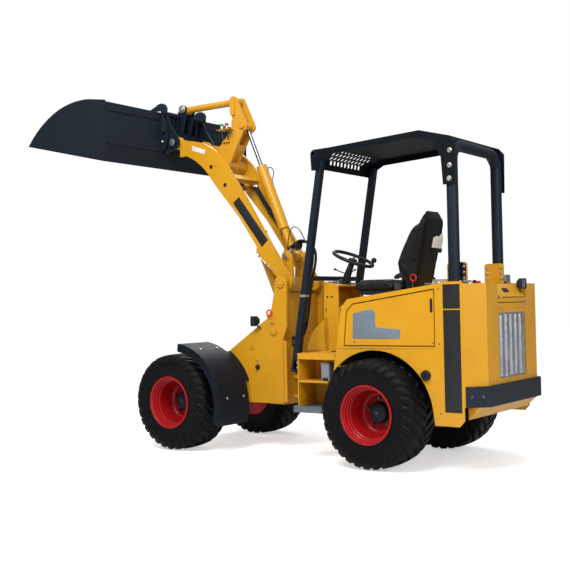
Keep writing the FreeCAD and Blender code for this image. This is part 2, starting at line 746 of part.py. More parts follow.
# ---------------------------------------------------------------- front frame
def front_frame():
    """Side plates, tower, column for the tilt cylinder, and the hinge yoke."""
    outer, inner = FRAME_HALF, FRAME_HALF - FRAME_PLATE
    by, bz = BOOM_PIN
    nose = FRONT_AXLE_Y - PAD_HALF - 48
    side_plate = [
        (-100.0, 388.0),
        (-100.0, 909.0),
        (by + 55, 1010.0),
        (by + 62, bz),
        ("arc", (by, bz + 62), (by - 62, bz)),
        (-188.0, 1268.0),
        (-212.0, 1164.0),
        (-255.0, 1087.0),
        (-375.0, 1005.0),
        (-702.0, 792.0),
        (nose, RAIL_LOW + 90),
        (nose, RAIL_LOW),
        (FRONT_AXLE_Y + PAD_HALF + 32, RAIL_LOW),
        (-700.0, 376.0),
    ]
    parts = []
    for side in (-1, 1):
        parts.append(path_yz(side_plate, side * inner, side * outer))
        parts.append(pin_x(LIFT_BASE_PIN, side * outer, side * (outer + 14), 34))
        ty, tz = TILT_BASE_PIN
        column = [
            (-105.0, 388.0),
            (-105.0, 1440.0),
            (ty + 52, tz),
            ("arc", (ty, tz + 52), (ty - 52, tz)),
            (ty - 60, 1440.0),
            (-240.0, 1100.0),
            (-262.0, 800.0),
            (-262.0, 388.0),
        ]
        parts.append(path_yz(column, side * (EAR_OUTER - EAR_PLATE), side * EAR_OUTER))
        parts.append(box(side * (EAR_OUTER - 5), side * (inner + 5), -125, -105, 388, 1290))
    parts.append(box(-EAR_OUTER, EAR_OUTER, -125, -105, 388, 1420))
    parts.append(box(-inner - 5, inner + 5, -262, -105, 376, 400))
    parts.append(box(-inner - 5, inner + 5, nose, nose + 20, RAIL_LOW, RAIL_LOW + 90))
    for low, high in ((TONGUE_LOW - 34, TONGUE_LOW - 6), (TONGUE_HIGH + 6, TONGUE_HIGH + 34)):
        ear = slab_xy([(-120, -110), (-HINGE_RADIUS, PIVOT_Y), (HINGE_RADIUS, PIVOT_Y), (120, -110)],
                      low, high)
        knuckle = Part.makeCylinder(HINGE_RADIUS, high - low, V(0, PIVOT_Y, low))
        parts.append(join([ear, knuckle]))
    lug_x, lug_y = STEER_FRONT_PIN
    for level in (STEER_HEIGHT - 40, STEER_HEIGHT + 28):
        parts.append(box(lug_x - 26, lug_x + 26, -106, lug_y + 24, level, level + 12))
    frame = join(parts)
    bores = []
    for side in (-1, 1):
        bores.append(pin_x(BOOM_PIN, side * 60, side * 300, BIG_PIN_RADIUS + FIT))
        bores.append(pin_x(TILT_BASE_PIN, side * 60, side * 120, BIG_PIN_RADIUS + FIT))
    frame = frame.cut(Part.makeCompound(bores))
    king = Part.makeCylinder(KING_PIN_RADIUS, TONGUE_HIGH - TONGUE_LOW + 68, V(0, PIVOT_Y, TONGUE_LOW - 34))
    base_pin = pin_x(LIFT_BASE_PIN, -outer - 12, outer + 12, BIG_PIN_RADIUS)
    return join([frame, king, base_pin])


FENDER_CENTRE = (FRONT_AXLE_Y + 32.0, AXLE_HEIGHT - 23.0)
FENDER_RADIUS = 515.0


def front_fenders():
    """Sheet fenders over the rear top of the front wheels, with a turned-down outer lip."""
    fenders = []
    cy, cz = FENDER_CENTRE

    def at(radius, angle):
        return (cy + radius * math.cos(math.radians(angle)), cz + radius * math.sin(math.radians(angle)))
    first, last = -17.0, 83.0
    for side in (-1, 1):
        def shell(r_in, r_out, x0, x1, start, stop):
            middle = (start + stop) / 2
            steps = [at(r_out, start), ("arc", at(r_out, middle), at(r_out, stop)), at(r_in, stop),
                     ("arc", at(r_in, middle), at(r_in, start))]
            return path_yz(steps, side * x0, side * x1)
        band = shell(FENDER_RADIUS - 5, FENDER_RADIUS, 330, 698, first, last)
        lip = shell(FENDER_RADIUS - 62, FENDER_RADIUS, 693, 698, first, last)
        stay = shell(FENDER_RADIUS - 26, FENDER_RADIUS - 4, FRAME_HALF, 350, 22.0, 58.0)
        fenders.append(join([band, lip, stay]))
    return Part.makeCompound(fenders)


# ---------------------------------------------------------------- boom and linkage
ARM_OUTER = ARM_INNER + ARM_PLATE
TIP_BOSS_RADIUS = 58.0


def boom_arms():
    """Two bent arm plates joined by the tip tube, a cross box and the crank and cylinder pins."""
    by, bz = BOOM_PIN
    outline = [
        (-1262.0, 2693.0),
        (-1084.0, 2658.0),
        ("arc", (-868.0, 2561.0), (-703.0, 2382.0)),
        (-523.0, 2122.0),
        (-246.0, 1689.0),
        (by + 62, bz + 30),
        ("arc", (by + 8, bz - 68), (by - 64, bz + 26)),
        (-283.0, 1511.0),
        (-392.0, 1612.0),
        (-412.0, 1660.0),
        (-404.0, 1684.0),
        (-589.0, 1944.0),
        (-824.0, 2209.0),
        (-896.0, 2294.0),
        ("arc", (-1028.0, 2442.0), (-1210.0, 2546.0)),
        (-1273.0, 2541.0),
    ]
    parts = []
    for side in (-1, 1):
        parts.append(path_yz(outline, side * ARM_INNER, side * ARM_OUTER))
        parts.append(pin_x(COUPLER_PIN, side * (ARM_INNER - 14), side * (ARM_OUTER + 8), TIP_BOSS_RADIUS))
    parts.append(pin_x(COUPLER_PIN, -ARM_INNER, ARM_INNER, 40))
    parts.append(slab_yz([(-772, 2303), (-725, 2345), (-668, 2300), (-700, 2270)], -ARM_INNER - 2,
                         ARM_INNER + 2))
    arms = join(parts)
    bores = [pin_x(BOOM_PIN, -300, 300, BIG_PIN_RADIUS + FIT)]
    bores.append(pin_x(COUPLER_PIN, -300, 300, BIG_PIN_RADIUS + FIT))
    bores.append(pin_x(CRANK_PIN, -300, 300, BIG_PIN_RADIUS + FIT))
    arms = arms.cut(Part.makeCompound(bores))
    top_pin = pin_x(LIFT_TOP_PIN, -ARM_INNER, -34, BIG_PIN_RADIUS)
    other = pin_x(LIFT_TOP_PIN, 34, ARM_INNER, BIG_PIN_RADIUS)
    return join([arms, top_pin, other])


def boom_pins():
    """Base pins of the arms, fixed in the tower's side plates."""
    pins = []
    for side in (-1, 1):
        pins.append(pin_x(BOOM_PIN, side * (EAR_OUTER - EAR_PLATE), side * (FRAME_HALF + 10),
                          BIG_PIN_RADIUS))
    return Part.makeCompound(pins)


CRANK_INNER = 44.0
CRANK_PLATE = 20.0
SPACER_RADIUS = 56.0


def bell_crank():
    """Tilt lever: two plates on a cross hub, joined by a web below the cylinder's pin."""
    py, pz = CRANK_PIN
    ky, kz = CRANK_LINK_PIN
    my, mz = CRANK_ROD_PIN
    outline = [
        (ky - 42, kz),
        ("arc", (ky - 4, kz + 42), (ky + 40, kz + 12)),
        (my + 44, mz + 22),
        ("arc", (my + 42, mz - 26), (my + 10, mz - 44)),
        (-742.0, 2560.0),
        (py + 58, pz + 10),
        ("arc", (py, pz - 58), (py - 58, pz + 6)),
        (-930.0, 2600.0),
        (-790.0, 2742.0),
        (-772.0, 2850.0),
    ]
    parts = []
    for side in (-1, 1):
        x0, x1 = side * CRANK_INNER, side * (CRANK_INNER + CRANK_PLATE)
        parts.append(path_yz(outline, x0, x1))
        parts.append(pin_x(CRANK_ROD_PIN, side * (CRANK_INNER + CRANK_PLATE), side * 78, 26))
    web = slab_yz([(-720, 2610), (-706, 2602), (-838, 2470), (-850, 2486)], -CRANK_INNER - 2,
                  CRANK_INNER + 2)
    parts.append(web)
    parts.append(pin_x(CRANK_PIN, -CRANK_INNER - 2, CRANK_INNER + 2, 52))
    crank = join(parts)
    bores = [pin_x(CRANK_PIN, -200, 200, BIG_PIN_RADIUS + FIT)]
    bores.append(pin_x(CRANK_LINK_PIN, -200, 200, SMALL_PIN_RADIUS + FIT))
    return crank.cut(Part.makeCompound(bores))


def crank_pin():
    """Pin of the tilt lever with the thick spacers that keep the lever centred between the arms."""
    parts = [pin_x(CRANK_PIN, -ARM_OUTER - 4, ARM_OUTER + 4, BIG_PIN_RADIUS)]
    plate_face = CRANK_INNER + CRANK_PLATE + 1
    for side in (-1, 1):
        parts.append(pin_x(CRANK_PIN, side * plate_face, side * (ARM_INNER - RUN_GAP), SPACER_RADIUS))
    return join(parts)


FLAG_LENGTH = 130.0
FLAG_WIDTH = 50.0
FLAG_PLATE = 12.0


def link_pin():
    """Pin between the tilt lever and the link rod, with a keeper plate welded on each end."""
    plate_face = CRANK_INNER + CRANK_PLATE + 2
    ky, kz = CRANK_LINK_PIN
    half = FLAG_WIDTH / 2
    flag = [
        (ky - half, kz),
        ("arc", (ky, kz + half), (ky + half, kz)),
        (ky + half, kz - FLAG_LENGTH + 10),
        (ky + half - 10, kz - FLAG_LENGTH),
        (ky - half + 10, kz - FLAG_LENGTH),
        (ky - half, kz - FLAG_LENGTH + 10),
    ]
    parts = [pin_x(CRANK_LINK_PIN, -plate_face - FLAG_PLATE, plate_face + FLAG_PLATE, SMALL_PIN_RADIUS)]
    for side in (-1, 1):
        parts.append(path_yz(flag, side * plate_face, side * (plate_face + FLAG_PLATE)))
    return join(parts)


LINK_RADIUS = 30.0


def link_rod():
    """Round link from the tilt lever forward to the coupler."""
    start = toward(CRANK_LINK_PIN, COUPLER_LINK_PIN, 30)
    end = toward(COUPLER_LINK_PIN, CRANK_LINK_PIN, 30)
    bar = bar_yz(start, end, 0, LINK_RADIUS)
    eye_a = pin_x(CRANK_LINK_PIN, -36, 36, 36)
    eye_b = pin_x(COUPLER_LINK_PIN, -36, 36, 36)
    link = join([bar, eye_a, eye_b])
    return link.cut(pin_x(CRANK_LINK_PIN, -60, 60, SMALL_PIN_RADIUS + FIT))


def coupler_pin():
    """Pin through the arm tips that carries the coupler."""
    return pin_x(COUPLER_PIN, -268, 268, BIG_PIN_RADIUS)


COUPLER_EAR_IN = 232.0
COUPLER_EAR_OUT = 252.0


def quick_coupler():
    """Tool coupler: outer ears on the arm pins, inner ears for the link, top and bottom bars."""
    jy, jz = COUPLER_PIN
    ny, nz = COUPLER_LINK_PIN
    face = BUCKET_BACK_Y + 0.5
    ear = [
        (face, jz - 80),
        (face, 2935.0),
        (face + 40, 2960.0),
        (jy - 40, 2840.0),
        (jy + 60, jz + 30),
        ("arc", (jy + 48, jz - 44), (jy - 20, jz - 64)),
        (face + 30, jz - 95),
    ]
    inner_ear = [
        (face, 2700.0),
        (face, 2960.0),
        (ny - 36, nz + 6),
        ("arc", (ny, nz + 38), (ny + 38, nz)),
        (ny + 32, 2940.0),
        (-1372.0, 2800.0),
    ]
    parts = []
    for side in (-1, 1):
        parts.append(path_yz(ear, side * COUPLER_EAR_IN, side * COUPLER_EAR_OUT))
        parts.append(path_yz(inner_ear, side * 44, side * 62))
        parts.append(slab_yz([(face, 2735), (face, 2950), (-1395, 2950), (-1388, 2800), (-1400, 2735)],
                             side * 140, side * 152))
        parts.append(pin_x(COUPLER_PIN, side * (COUPLER_EAR_OUT - 1), side * (COUPLER_EAR_OUT + 12), 42))
    parts.append(pin_x((-1404.0, 2940.0), -COUPLER_EAR_OUT, COUPLER_EAR_OUT, 24))
    parts.append(box(-COUPLER_EAR_OUT, COUPLER_EAR_OUT, face, face + 34, 2740, 2790))
    coupler = join(parts)
    coupler = coupler.cut(pin_x(COUPLER_PIN, -300, 300, BIG_PIN_RADIUS + FIT))
    link_stub = [pin_x(COUPLER_LINK_PIN, side * 38, side * 80, SMALL_PIN_RADIUS) for side in (-1, 1)]
    return join([coupler] + link_stub)


def bucket():
    """Wide light-material bucket: two sides, floor with cutting edge, back with a bent foot."""
    half = BUCKET_HALF
    t = BUCKET_SHEET
    side = [
        BUCKET_TIP,
        ("arc", (-2280.0, 2833.0), (-2040.0, 2955.0)),
        ("arc", (-1850.0, 2997.0), (-1640.0, 2999.0)),
        (BUCKET_BACK_Y, BUCKET_BACK_TOP + 12),
        (BUCKET_BACK_Y, BUCKET_SEAM),
        BUCKET_HEEL,
    ]
    parts = []
    for sign in (-1, 1):
        parts.append(path_yz(side, sign * (half - t), sign * half))
    floor_low = [BUCKET_HEEL, BUCKET_TIP, (BUCKET_TIP[0] + 26, BUCKET_TIP[1] + 10),
                 (BUCKET_HEEL[0] + 4, BUCKET_HEEL[1] + t + 2)]
    parts.append(slab_yz(floor_low, -half, half))
    back = [
        BUCKET_HEEL,
        (BUCKET_BACK_Y, BUCKET_SEAM),
        (BUCKET_BACK_Y, BUCKET_BACK_TOP),
        (BUCKET_BACK_Y - t, BUCKET_BACK_TOP),
        (BUCKET_BACK_Y - t, BUCKET_SEAM + 2),
        (BUCKET_HEEL[0] - t, BUCKET_HEEL[1] + 6),
    ]
    parts.append(slab_yz(back, -half, half))
    parts.append(box(-half, half, BUCKET_BACK_Y - 28, BUCKET_BACK_Y, BUCKET_BACK_TOP - 18, BUCKET_BACK_TOP))
    return join(parts)


# ---------------------------------------------------------------- cylinders
def cylinder_barrel(base, top, length, radius, rod_radius, bore_from, neck):
    """Barrel along base to top: base eye, optional slimmer neck, tube with a blind bore, gland."""
    start = toward(base, top, neck)
    end = toward(base, top, length)
    parts = [bar_yz(start, end, 0, radius)]
    if neck > 60:
        parts.append(bar_yz(toward(base, top, 20), toward(base, top, neck + 5), 0, radius * 0.68))
    else:
        parts.append(bar_yz(toward(base, top, 10), toward(base, top, neck + 5), 0, radius * 0.8))
    parts.append(pin_x(base, -38, 38, 44))
    barrel = join(parts)
    bore = bar_yz(toward(base, top, bore_from), toward(base, top, length + 5), 0, rod_radius + FIT)
    barrel = barrel.cut(bore)
    return barrel.cut(pin_x(base, -60, 60, BIG_PIN_RADIUS + FIT))


def cylinder_rod(base, top, tail_at, rod_radius, eye_radius, eye_half, pin_radius, open_eye):
    """Rod from inside the barrel to its eye at the top pin."""
    length = math.dist(base, top)
    parts = [bar_yz(toward(base, top, tail_at), toward(base, top, length - 10), 0, rod_radius)]
    parts.append(pin_x(top, -eye_half, eye_half, eye_radius))
    piece = join(parts)
    if open_eye:
        piece = piece.cut(pin_x(top, -eye_half - 1, eye_half + 1, pin_radius))
    return piece


def lift_cylinder_barrel():
    return cylinder_barrel(LIFT_BASE_PIN, LIFT_TOP_PIN, LIFT_BARREL_LENGTH, LIFT_BARREL_RADIUS,
                           LIFT_ROD_RADIUS, 60, 40)


def lift_cylinder_rod():
    return cylinder_rod(LIFT_BASE_PIN, LIFT_TOP_PIN, LIFT_BARREL_LENGTH - 60, LIFT_ROD_RADIUS, 40, 30,
                        BIG_PIN_RADIUS, False)


def tilt_cylinder_barrel():
    return cylinder_barrel(TILT_BASE_PIN, CRANK_ROD_PIN, TILT_BARREL_END, TILT_BARREL_RADIUS,
                           TILT_ROD_RADIUS, 330, 262)


def tilt_cylinder_rod():
    return cylinder_rod(TILT_BASE_PIN, CRANK_ROD_PIN, 600, TILT_ROD_RADIUS, 34, 30, BIG_PIN_RADIUS, False)


def tilt_base_pin():
    """Pin of the tilt cylinder at the top of the column."""
    return pin_x(TILT_BASE_PIN, -126, 126, BIG_PIN_RADIUS)


def flat_rod(start, end, near, far, radius):
    """Horizontal round bar on the way from one (x, y) pin to another, between two distances."""
    a, b = toward(start, end, near), toward(start, end, far)
    return rod((a[0], a[1], STEER_HEIGHT), (b[0], b[1], STEER_HEIGHT), radius)


STEER_LENGTH = math.dist(STEER_REAR_PIN, STEER_FRONT_PIN)


def steering_cylinder_barrel():
    """Steering cylinder's barrel, pinned to the rear frame."""
    x, y = STEER_REAR_PIN
    tube = flat_rod(STEER_REAR_PIN, STEER_FRONT_PIN, 15, 365, 24)
    eye = Part.makeCylinder(26, 50, V(x, y, STEER_HEIGHT - 25))
    barrel = join([tube, eye])
    return barrel.cut(flat_rod(STEER_REAR_PIN, STEER_FRONT_PIN, 50, 380, 12 + FIT))


def steering_cylinder_rod():
    """Steering cylinder's rod, up to its eye between the front frame's lugs."""
    x, y = STEER_FRONT_PIN
    bar = flat_rod(STEER_REAR_PIN, STEER_FRONT_PIN, 225, STEER_LENGTH - 10, 12)
    eye = Part.makeCylinder(22, 44, V(x, y, STEER_HEIGHT - 22))
    return join([bar, eye])


# ---------------------------------------------------------------- assembly
def build():
    """Every node by name, in the machine's own coordinates."""
    nodes = {
        "rear_chassis": rear_chassis(),
        "platform": platform(),
        "rear_axle": axle(REAR_AXLE_Y, AXLE_PAD_TOP),
        "engine_block": engine_block(),
        "body_panels": body_panels(),
        "hood_top": hood_top(),
        "rear_cover": rear_cover(),
        "rear_lid": rear_lid(),
        "radiator_grille": radiator_grille(),
        "rear_bumper": rear_bumper(),
        "door_left": door(1),
        "door_right": door(-1),
        "dash_console": dash_console(),
        "steering_column": steering_column(),
        "steering_wheel": steering_wheel(),
        "seat_base": seat_base(),
        "seat_cushion": seat_cushion(),
        "seat_back": seat_back(),
        "rops_hoop": rops_hoop(),
        "rops_brackets": rops_brackets(),
        "canopy_roof": canopy_roof(),
        "canopy_posts": canopy_posts(),
        "front_frame": front_frame(),
        "front_axle": axle(FRONT_AXLE_Y, AXLE_PAD_TOP),
        "front_fenders": front_fenders(),
        "boom_arms": boom_arms(),
        "boom_pins": boom_pins(),
        "bell_crank": bell_crank(),
        "crank_pin": crank_pin(),
        "link_pin": link_pin(),
        "link_rod": link_rod(),
        "coupler_pin": coupler_pin(),
        "quick_coupler": quick_coupler(),
        "bucket": bucket(),
        "lift_cylinder_barrel": lift_cylinder_barrel(),
        "lift_cylinder_rod": lift_cylinder_rod(),
        "tilt_base_pin": tilt_base_pin(),
        "tilt_cylinder_barrel": tilt_cylinder_barrel(),
        "tilt_cylinder_rod": tilt_cylinder_rod(),
        "steering_cylinder_barrel": steering_cylinder_barrel(),
        "steering_cylinder_rod": steering_cylinder_rod(),
    }
    for end, axle_y in (("front", FRONT_AXLE_Y), ("rear", REAR_AXLE_Y)):
        for name, side in (("left", 1), ("right", -1)):
            nodes["tyre_%s_%s" % (end, name)] = tyre(side, axle_y)
            nodes["rim_%s_%s" % (end, name)] = rim(side, axle_y)
    return nodes


REAR_END = BODY_REAR + BUMPER_OUT
FRONT_END = BUCKET_TIP[0]
ORIGIN_Y = (REAR_END + FRONT_END) / 2
ORIGIN_Z = AXLE_HEIGHT - TYRE_RADIUS


def main():
    os.makedirs("parts", exist_ok=True)
    shift = V(0, -ORIGIN_Y, -ORIGIN_Z)
    for name, shape in build().items():
        shape.translate(shift)
        shape.exportStep("parts/%s.step" % name)
        box_ = shape.BoundBox
        print("%-26s solids %d valid %s volume %.1f dm3 box x %.0f..%.0f y %.0f..%.0f z %.0f..%.0f" % (
            name, len(shape.Solids), shape.isValid(), shape.Volume / 1e6, box_.XMin, box_.XMax,
            box_.YMin, box_.YMax, box_.ZMin, box_.ZMax))


main()
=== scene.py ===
import json
import math

import bmesh
import bpy
from mathutils import Matrix, Vector


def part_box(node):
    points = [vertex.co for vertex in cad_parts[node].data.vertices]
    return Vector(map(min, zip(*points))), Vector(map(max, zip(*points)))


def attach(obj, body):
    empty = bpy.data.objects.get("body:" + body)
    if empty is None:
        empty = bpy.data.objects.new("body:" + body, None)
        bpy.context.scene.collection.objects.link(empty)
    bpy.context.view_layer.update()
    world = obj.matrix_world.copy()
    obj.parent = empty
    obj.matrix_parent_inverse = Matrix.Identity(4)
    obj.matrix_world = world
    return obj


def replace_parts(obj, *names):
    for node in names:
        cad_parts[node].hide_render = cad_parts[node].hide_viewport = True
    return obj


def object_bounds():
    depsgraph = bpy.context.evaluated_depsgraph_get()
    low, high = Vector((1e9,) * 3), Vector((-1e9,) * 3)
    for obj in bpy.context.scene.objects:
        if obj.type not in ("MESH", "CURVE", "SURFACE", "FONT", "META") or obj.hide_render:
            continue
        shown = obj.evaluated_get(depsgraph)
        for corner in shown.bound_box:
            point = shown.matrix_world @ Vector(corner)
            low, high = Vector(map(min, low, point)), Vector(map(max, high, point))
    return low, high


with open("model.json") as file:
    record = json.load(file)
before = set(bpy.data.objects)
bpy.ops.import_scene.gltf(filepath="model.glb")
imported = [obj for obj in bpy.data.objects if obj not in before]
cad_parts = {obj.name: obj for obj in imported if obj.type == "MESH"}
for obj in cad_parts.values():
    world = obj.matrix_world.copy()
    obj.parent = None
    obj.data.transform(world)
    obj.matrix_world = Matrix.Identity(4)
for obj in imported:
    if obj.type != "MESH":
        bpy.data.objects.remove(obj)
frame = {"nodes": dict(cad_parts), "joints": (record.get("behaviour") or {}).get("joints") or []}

CAD_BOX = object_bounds()
NODES = frame["nodes"]
JOINTS = {j["name"]: j for j in frame["joints"]}

# Machine coordinates: millimetres, y = 0 at the articulation pin, z = 0 at the ground.
PIVOT_Y = JOINTS["articulation"]["pos_m"][1]
AXLE_Y, AXLE_Z = 967.0, 398.0
WHEEL_LOW, WHEEL_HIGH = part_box("tyre_front_left")
LIFT_Z = (WHEEL_LOW.z + WHEEL_HIGH.z) / 2 - AXLE_Z / 1000
SIDES = (("left", 1), ("right", -1))
REAR, FRONT, BOOM, TOOL, CRANK = "rear_body", "front_body", "boom", "tool", "bell_crank"
OUT, IN, UP, BACK = (1, 0, 0), (-1, 0, 0), (0, 0, 1), (0, 1, 0)


def at(x, y, z):
    """Point in the row frame, in metres, from machine millimetres."""
    return Vector((x / 1000, y / 1000 + PIVOT_Y, z / 1000 + LIFT_Z))


# ------------------------------------------------------------------ materials
class Tree:
    """Node tree of a material or world, with short ways to add and join its nodes."""

    def __init__(self, owner):
        owner.use_nodes = True
        self.nodes, self.link = owner.node_tree.nodes, owner.node_tree.links.new

    def add(self, kind, **settings):
        node = self.nodes.new("ShaderNode" + kind)
        for key, value in settings.items():
            if key in node.inputs.keys():
                node.inputs[key].default_value = value
            else:
                setattr(node, key, value)
        return node

    def spread(self, source, *limits):
        """Value moved from the range of the first two limits to that of the last two, and held there."""
        node = self.add("MapRange")
        for key, value in enumerate(limits, 1):
            node.inputs[key].default_value = value
        self.link(source, node.inputs[0])
        return node.outputs[0]


class Look(Tree):
    """Material with its shader and its object coordinates."""

    def __init__(self, name):
        self.material = bpy.data.materials.new(name)
        super().__init__(self.material)
        self.shader = self.nodes["Principled BSDF"]
        mapping = self.add("Mapping")
        self.link(self.add("TexCoord").outputs["Object"], mapping.inputs["Vector"])
        self.where = mapping.outputs["Vector"]

    def texture(self, kind, **settings):
        node = self.add("Tex" + kind, **settings)
        self.link(self.where, node.inputs["Vector"])
        return node

    def noise(self, scale, detail, rough=0.5):
        return self.texture("Noise", Scale=scale, Detail=detail, Roughness=rough).outputs["Fac"]

    def ramp(self, source, *stops):
        """Colour ramp over a 0 to 1 value."""
        node = self.add("ValToRGB")
        elements = node.color_ramp.elements
        while len(elements) < len(stops):
            elements.new(0.5)
        for element, (place, colour) in zip(elements, stops):
            element.position = place
            element.color = (*colour, 1)
        self.link(source, node.inputs["Fac"])
        return node.outputs["Color"]

    def mix(self, fac, a, b):
        """Blend of two colours, each a socket or a plain colour."""
        node = self.add("Mix", data_type="RGBA")
        self.link(fac, node.inputs[0])
        for socket, value in ((6, a), (7, b)):
            if isinstance(value, tuple):
                node.inputs[socket].default_value = (*value, 1)
            else:
                self.link(value, node.inputs[socket])
        return node.outputs[2]

    def multiply(self, source):
        """Multiplication node with its first factor joined."""
        node = self.add("Math", operation="MULTIPLY")
        self.link(source, node.inputs[0])
        return node

    def finish(self, base, uneven, rough, relief, strength, depth, shine=0.5, normal=None):
        """Join colour, uneven roughness between two values and relief to the shader."""
        self.link(base, self.shader.inputs["Base Color"])
        self.link(self.spread(uneven, 0.3, 0.7, *rough), self.shader.inputs["Roughness"])
        bump = self.add("Bump", Strength=strength, Distance=depth)
        self.link(relief, bump.inputs["Height"])
        if normal:
            self.link(normal, bump.inputs["Normal"])
        self.link(bump.outputs[0], self.shader.inputs["Normal"])
        self.shader.inputs["Specular IOR Level"].default_value = shine
        return self.material


def shade(colour, factor):
    return tuple(min(1.0, c * factor) for c in colour)


def painted(name, colour, rough=0.38, coat=0.25, edge=0.0015, dust=0.25, shine=0.32):
    """Sprayed paint: slight orange peel, faint blotches, soft edges, dust that thickens near the ground."""
    look = Look(name)
    blotch, speck, peel = look.noise(3.1, 5.0, 0.6), look.noise(95.0, 4.0, 0.7), look.noise(420.0, 2.0)
    base = look.ramp(blotch, (0.3, shade(colour, 0.93)), (0.55, colour), (0.75, shade(colour, 1.05)))
    height = look.add("SeparateXYZ")
    look.link(look.where, height.inputs[0])
    patchy = look.multiply(look.spread(height.outputs["Z"], 0.05, 0.9, dust, 0.0))
    look.link(speck, patchy.inputs[1])
    dusty = look.mix(patchy.outputs[0], base, (0.24, 0.2, 0.15))
    look.shader.inputs["Coat Weight"].default_value = coat
    look.shader.inputs["Coat Roughness"].default_value = 0.18
    soft = look.add("Bevel", samples=3, Radius=edge).outputs[0] if edge else None
    return look.finish(dusty, speck, (rough - 0.06, rough + 0.13), peel, 0.05, 0.0006, shine, soft)


def rubber(name, colour, rough=0.5, scale=60.0, amount=0.35):
    """Moulded rubber: fine pores, dust in the low places."""
    look = Look(name)
    cloud, pores = look.noise(7.0, 8.0, 0.65), look.noise(scale * 6, 3.0)
    tint = look.mix(look.ramp(cloud, (0.45, (0, 0, 0)), (0.8, (amount,) * 3)), colour, (0.11, 0.1, 0.09))
    return look.finish(tint, cloud, (rough - 0.1, rough + 0.1), pores, 0.25, 0.0008, 0.11)


def metal(name, colour, rough=0.25, spangle=0.0):
    """Bare metal: uneven polish, or zinc spangle."""
    look = Look(name)
    cloud = look.noise(9.0, 6.0)
    if spangle:
        grey = look.add("RGBToBW")
        look.link(look.texture("Voronoi", Scale=spangle).outputs["Color"], grey.inputs[0])
        base = look.ramp(grey.outputs[0], (0.1, shade(colour, 0.75)), (0.9, shade(colour, 1.1)))
    else:
        base = look.ramp(cloud, (0.3, shade(colour, 0.88)), (0.7, colour))
    look.shader.inputs["Metallic"].default_value = 1.0
    return look.finish(base, cloud, (rough * 0.75, rough * 1.35), cloud, 0.08, 0.0004)


def plastic(name, colour, rough=0.5, grain=900.0, strength=0.2):
    """Moulded plastic with a fine leather-like grain."""
    look = Look(name)
    cells, cloud = look.texture("Voronoi", Scale=grain).outputs["Distance"], look.noise(12.0, 5.0)
    base = look.ramp(cloud, (0.35, shade(colour, 0.85)), (0.7, shade(colour, 1.25)))
    return look.finish(base, cloud, (rough - 0.08, rough + 0.1), cells, strength, 0.0004, 0.25)


MAT = {
    "yellow": painted("paint_yellow", (0.60, 0.285, 0.008), rough=0.36, coat=0.12, dust=0.10),
    "orange": painted("paint_orange", (0.62, 0.30, 0.020), rough=0.36, dust=0.1),
    "steel": painted("paint_bluegrey", (0.0058, 0.0125, 0.0215), rough=0.46, coat=0.0, dust=0.05, shine=0.22),
    # Roof: the steel's blue-grey made darker to paint the shade on the canopy's underside.
    "roof": painted("paint_roof_painted_shade", (0.0022, 0.0042, 0.0065), rough=0.5, coat=0.0, dust=0.0, shine=0.12),
    "fender": painted("paint_fender", (0.0030, 0.0062, 0.0115), rough=0.5, coat=0.0, dust=0.02, shine=0.14),
    "bucket": painted("paint_bucket", (0.0060, 0.0120, 0.0205), rough=0.48, coat=0.0, dust=0.05, shine=0.25),
    "black": painted("paint_black", (0.006, 0.0065, 0.008), rough=0.4, coat=0.0, dust=0.15, shine=0.2),
    "red": painted("paint_red", (0.31, 0.002, 0.0045), rough=0.36, coat=0.1, dust=0.03, shine=0.25),
    "ring": painted("paint_ring", (0.62, 0.05, 0.01), rough=0.4, dust=0.0),
    "film": painted("film_grey", (0.15, 0.185, 0.225), rough=0.42, coat=0.0, dust=0.05, edge=0.0),
    "strip": painted("strip_black", (0.012, 0.013, 0.015), rough=0.45, coat=0.1, dust=0.02, edge=0.0),
    "blank": painted("blank_white", (0.72, 0.72, 0.7), rough=0.5, coat=0.0, dust=0.0, edge=0.0),
    "box": painted("paint_box_grey", (0.20, 0.225, 0.245), rough=0.45, dust=0.1),
    "tyre": rubber("rubber_tyre", (0.0024, 0.0027, 0.0033), rough=0.52, amount=0.03),
    "hose": rubber("rubber_hose", (0.012, 0.012, 0.013), scale=90.0, amount=0.1),
    "grip": rubber("rubber_grip", (0.010, 0.010, 0.011), scale=120.0, amount=0.05),
    "chrome": metal("chrome_rod", (0.20, 0.215, 0.245), rough=0.3),
    "zinc": metal("zinc_plated", (0.62, 0.62, 0.60), rough=0.35, spangle=160.0),
    "grating": metal("zinc_dipped", (0.72, 0.75, 0.80), rough=0.42, spangle=220.0),
    "step": metal("step_zinc", (0.22, 0.25, 0.29), rough=0.5, spangle=220.0),
    "dark_metal": metal("dark_metal", (0.10, 0.10, 0.11), rough=0.45),
    "plastic": plastic("plastic_black", (0.013, 0.013, 0.014)),
    "lens": plastic("lamp_lens", (0.10, 0.13, 0.19), rough=0.12, grain=300.0, strength=0.4),
    "green": plastic("cap_green", (0.02, 0.25, 0.04), rough=0.4),
    "redcap": plastic("cap_red", (0.45, 0.01, 0.01), rough=0.4),
    "vinyl": plastic("seat_vinyl", (0.006, 0.0065, 0.0075), rough=0.48, grain=650.0, strength=0.35),
}


# ------------------------------------------------------------------ mesh helpers
def link(name, data):
    piece = bpy.data.objects.new(name, data)
    bpy.context.scene.collection.objects.link(piece)
    return piece


def finish_piece(piece, mat, body):
    piece.data.materials.clear()
    piece.data.materials.append(MAT[mat])
    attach(piece, body)
    return piece


def sharp_edges(bm, degrees):
    return [e for e in bm.edges if len(e.link_faces) == 2 and e.calc_face_angle(0) > math.radians(degrees)]


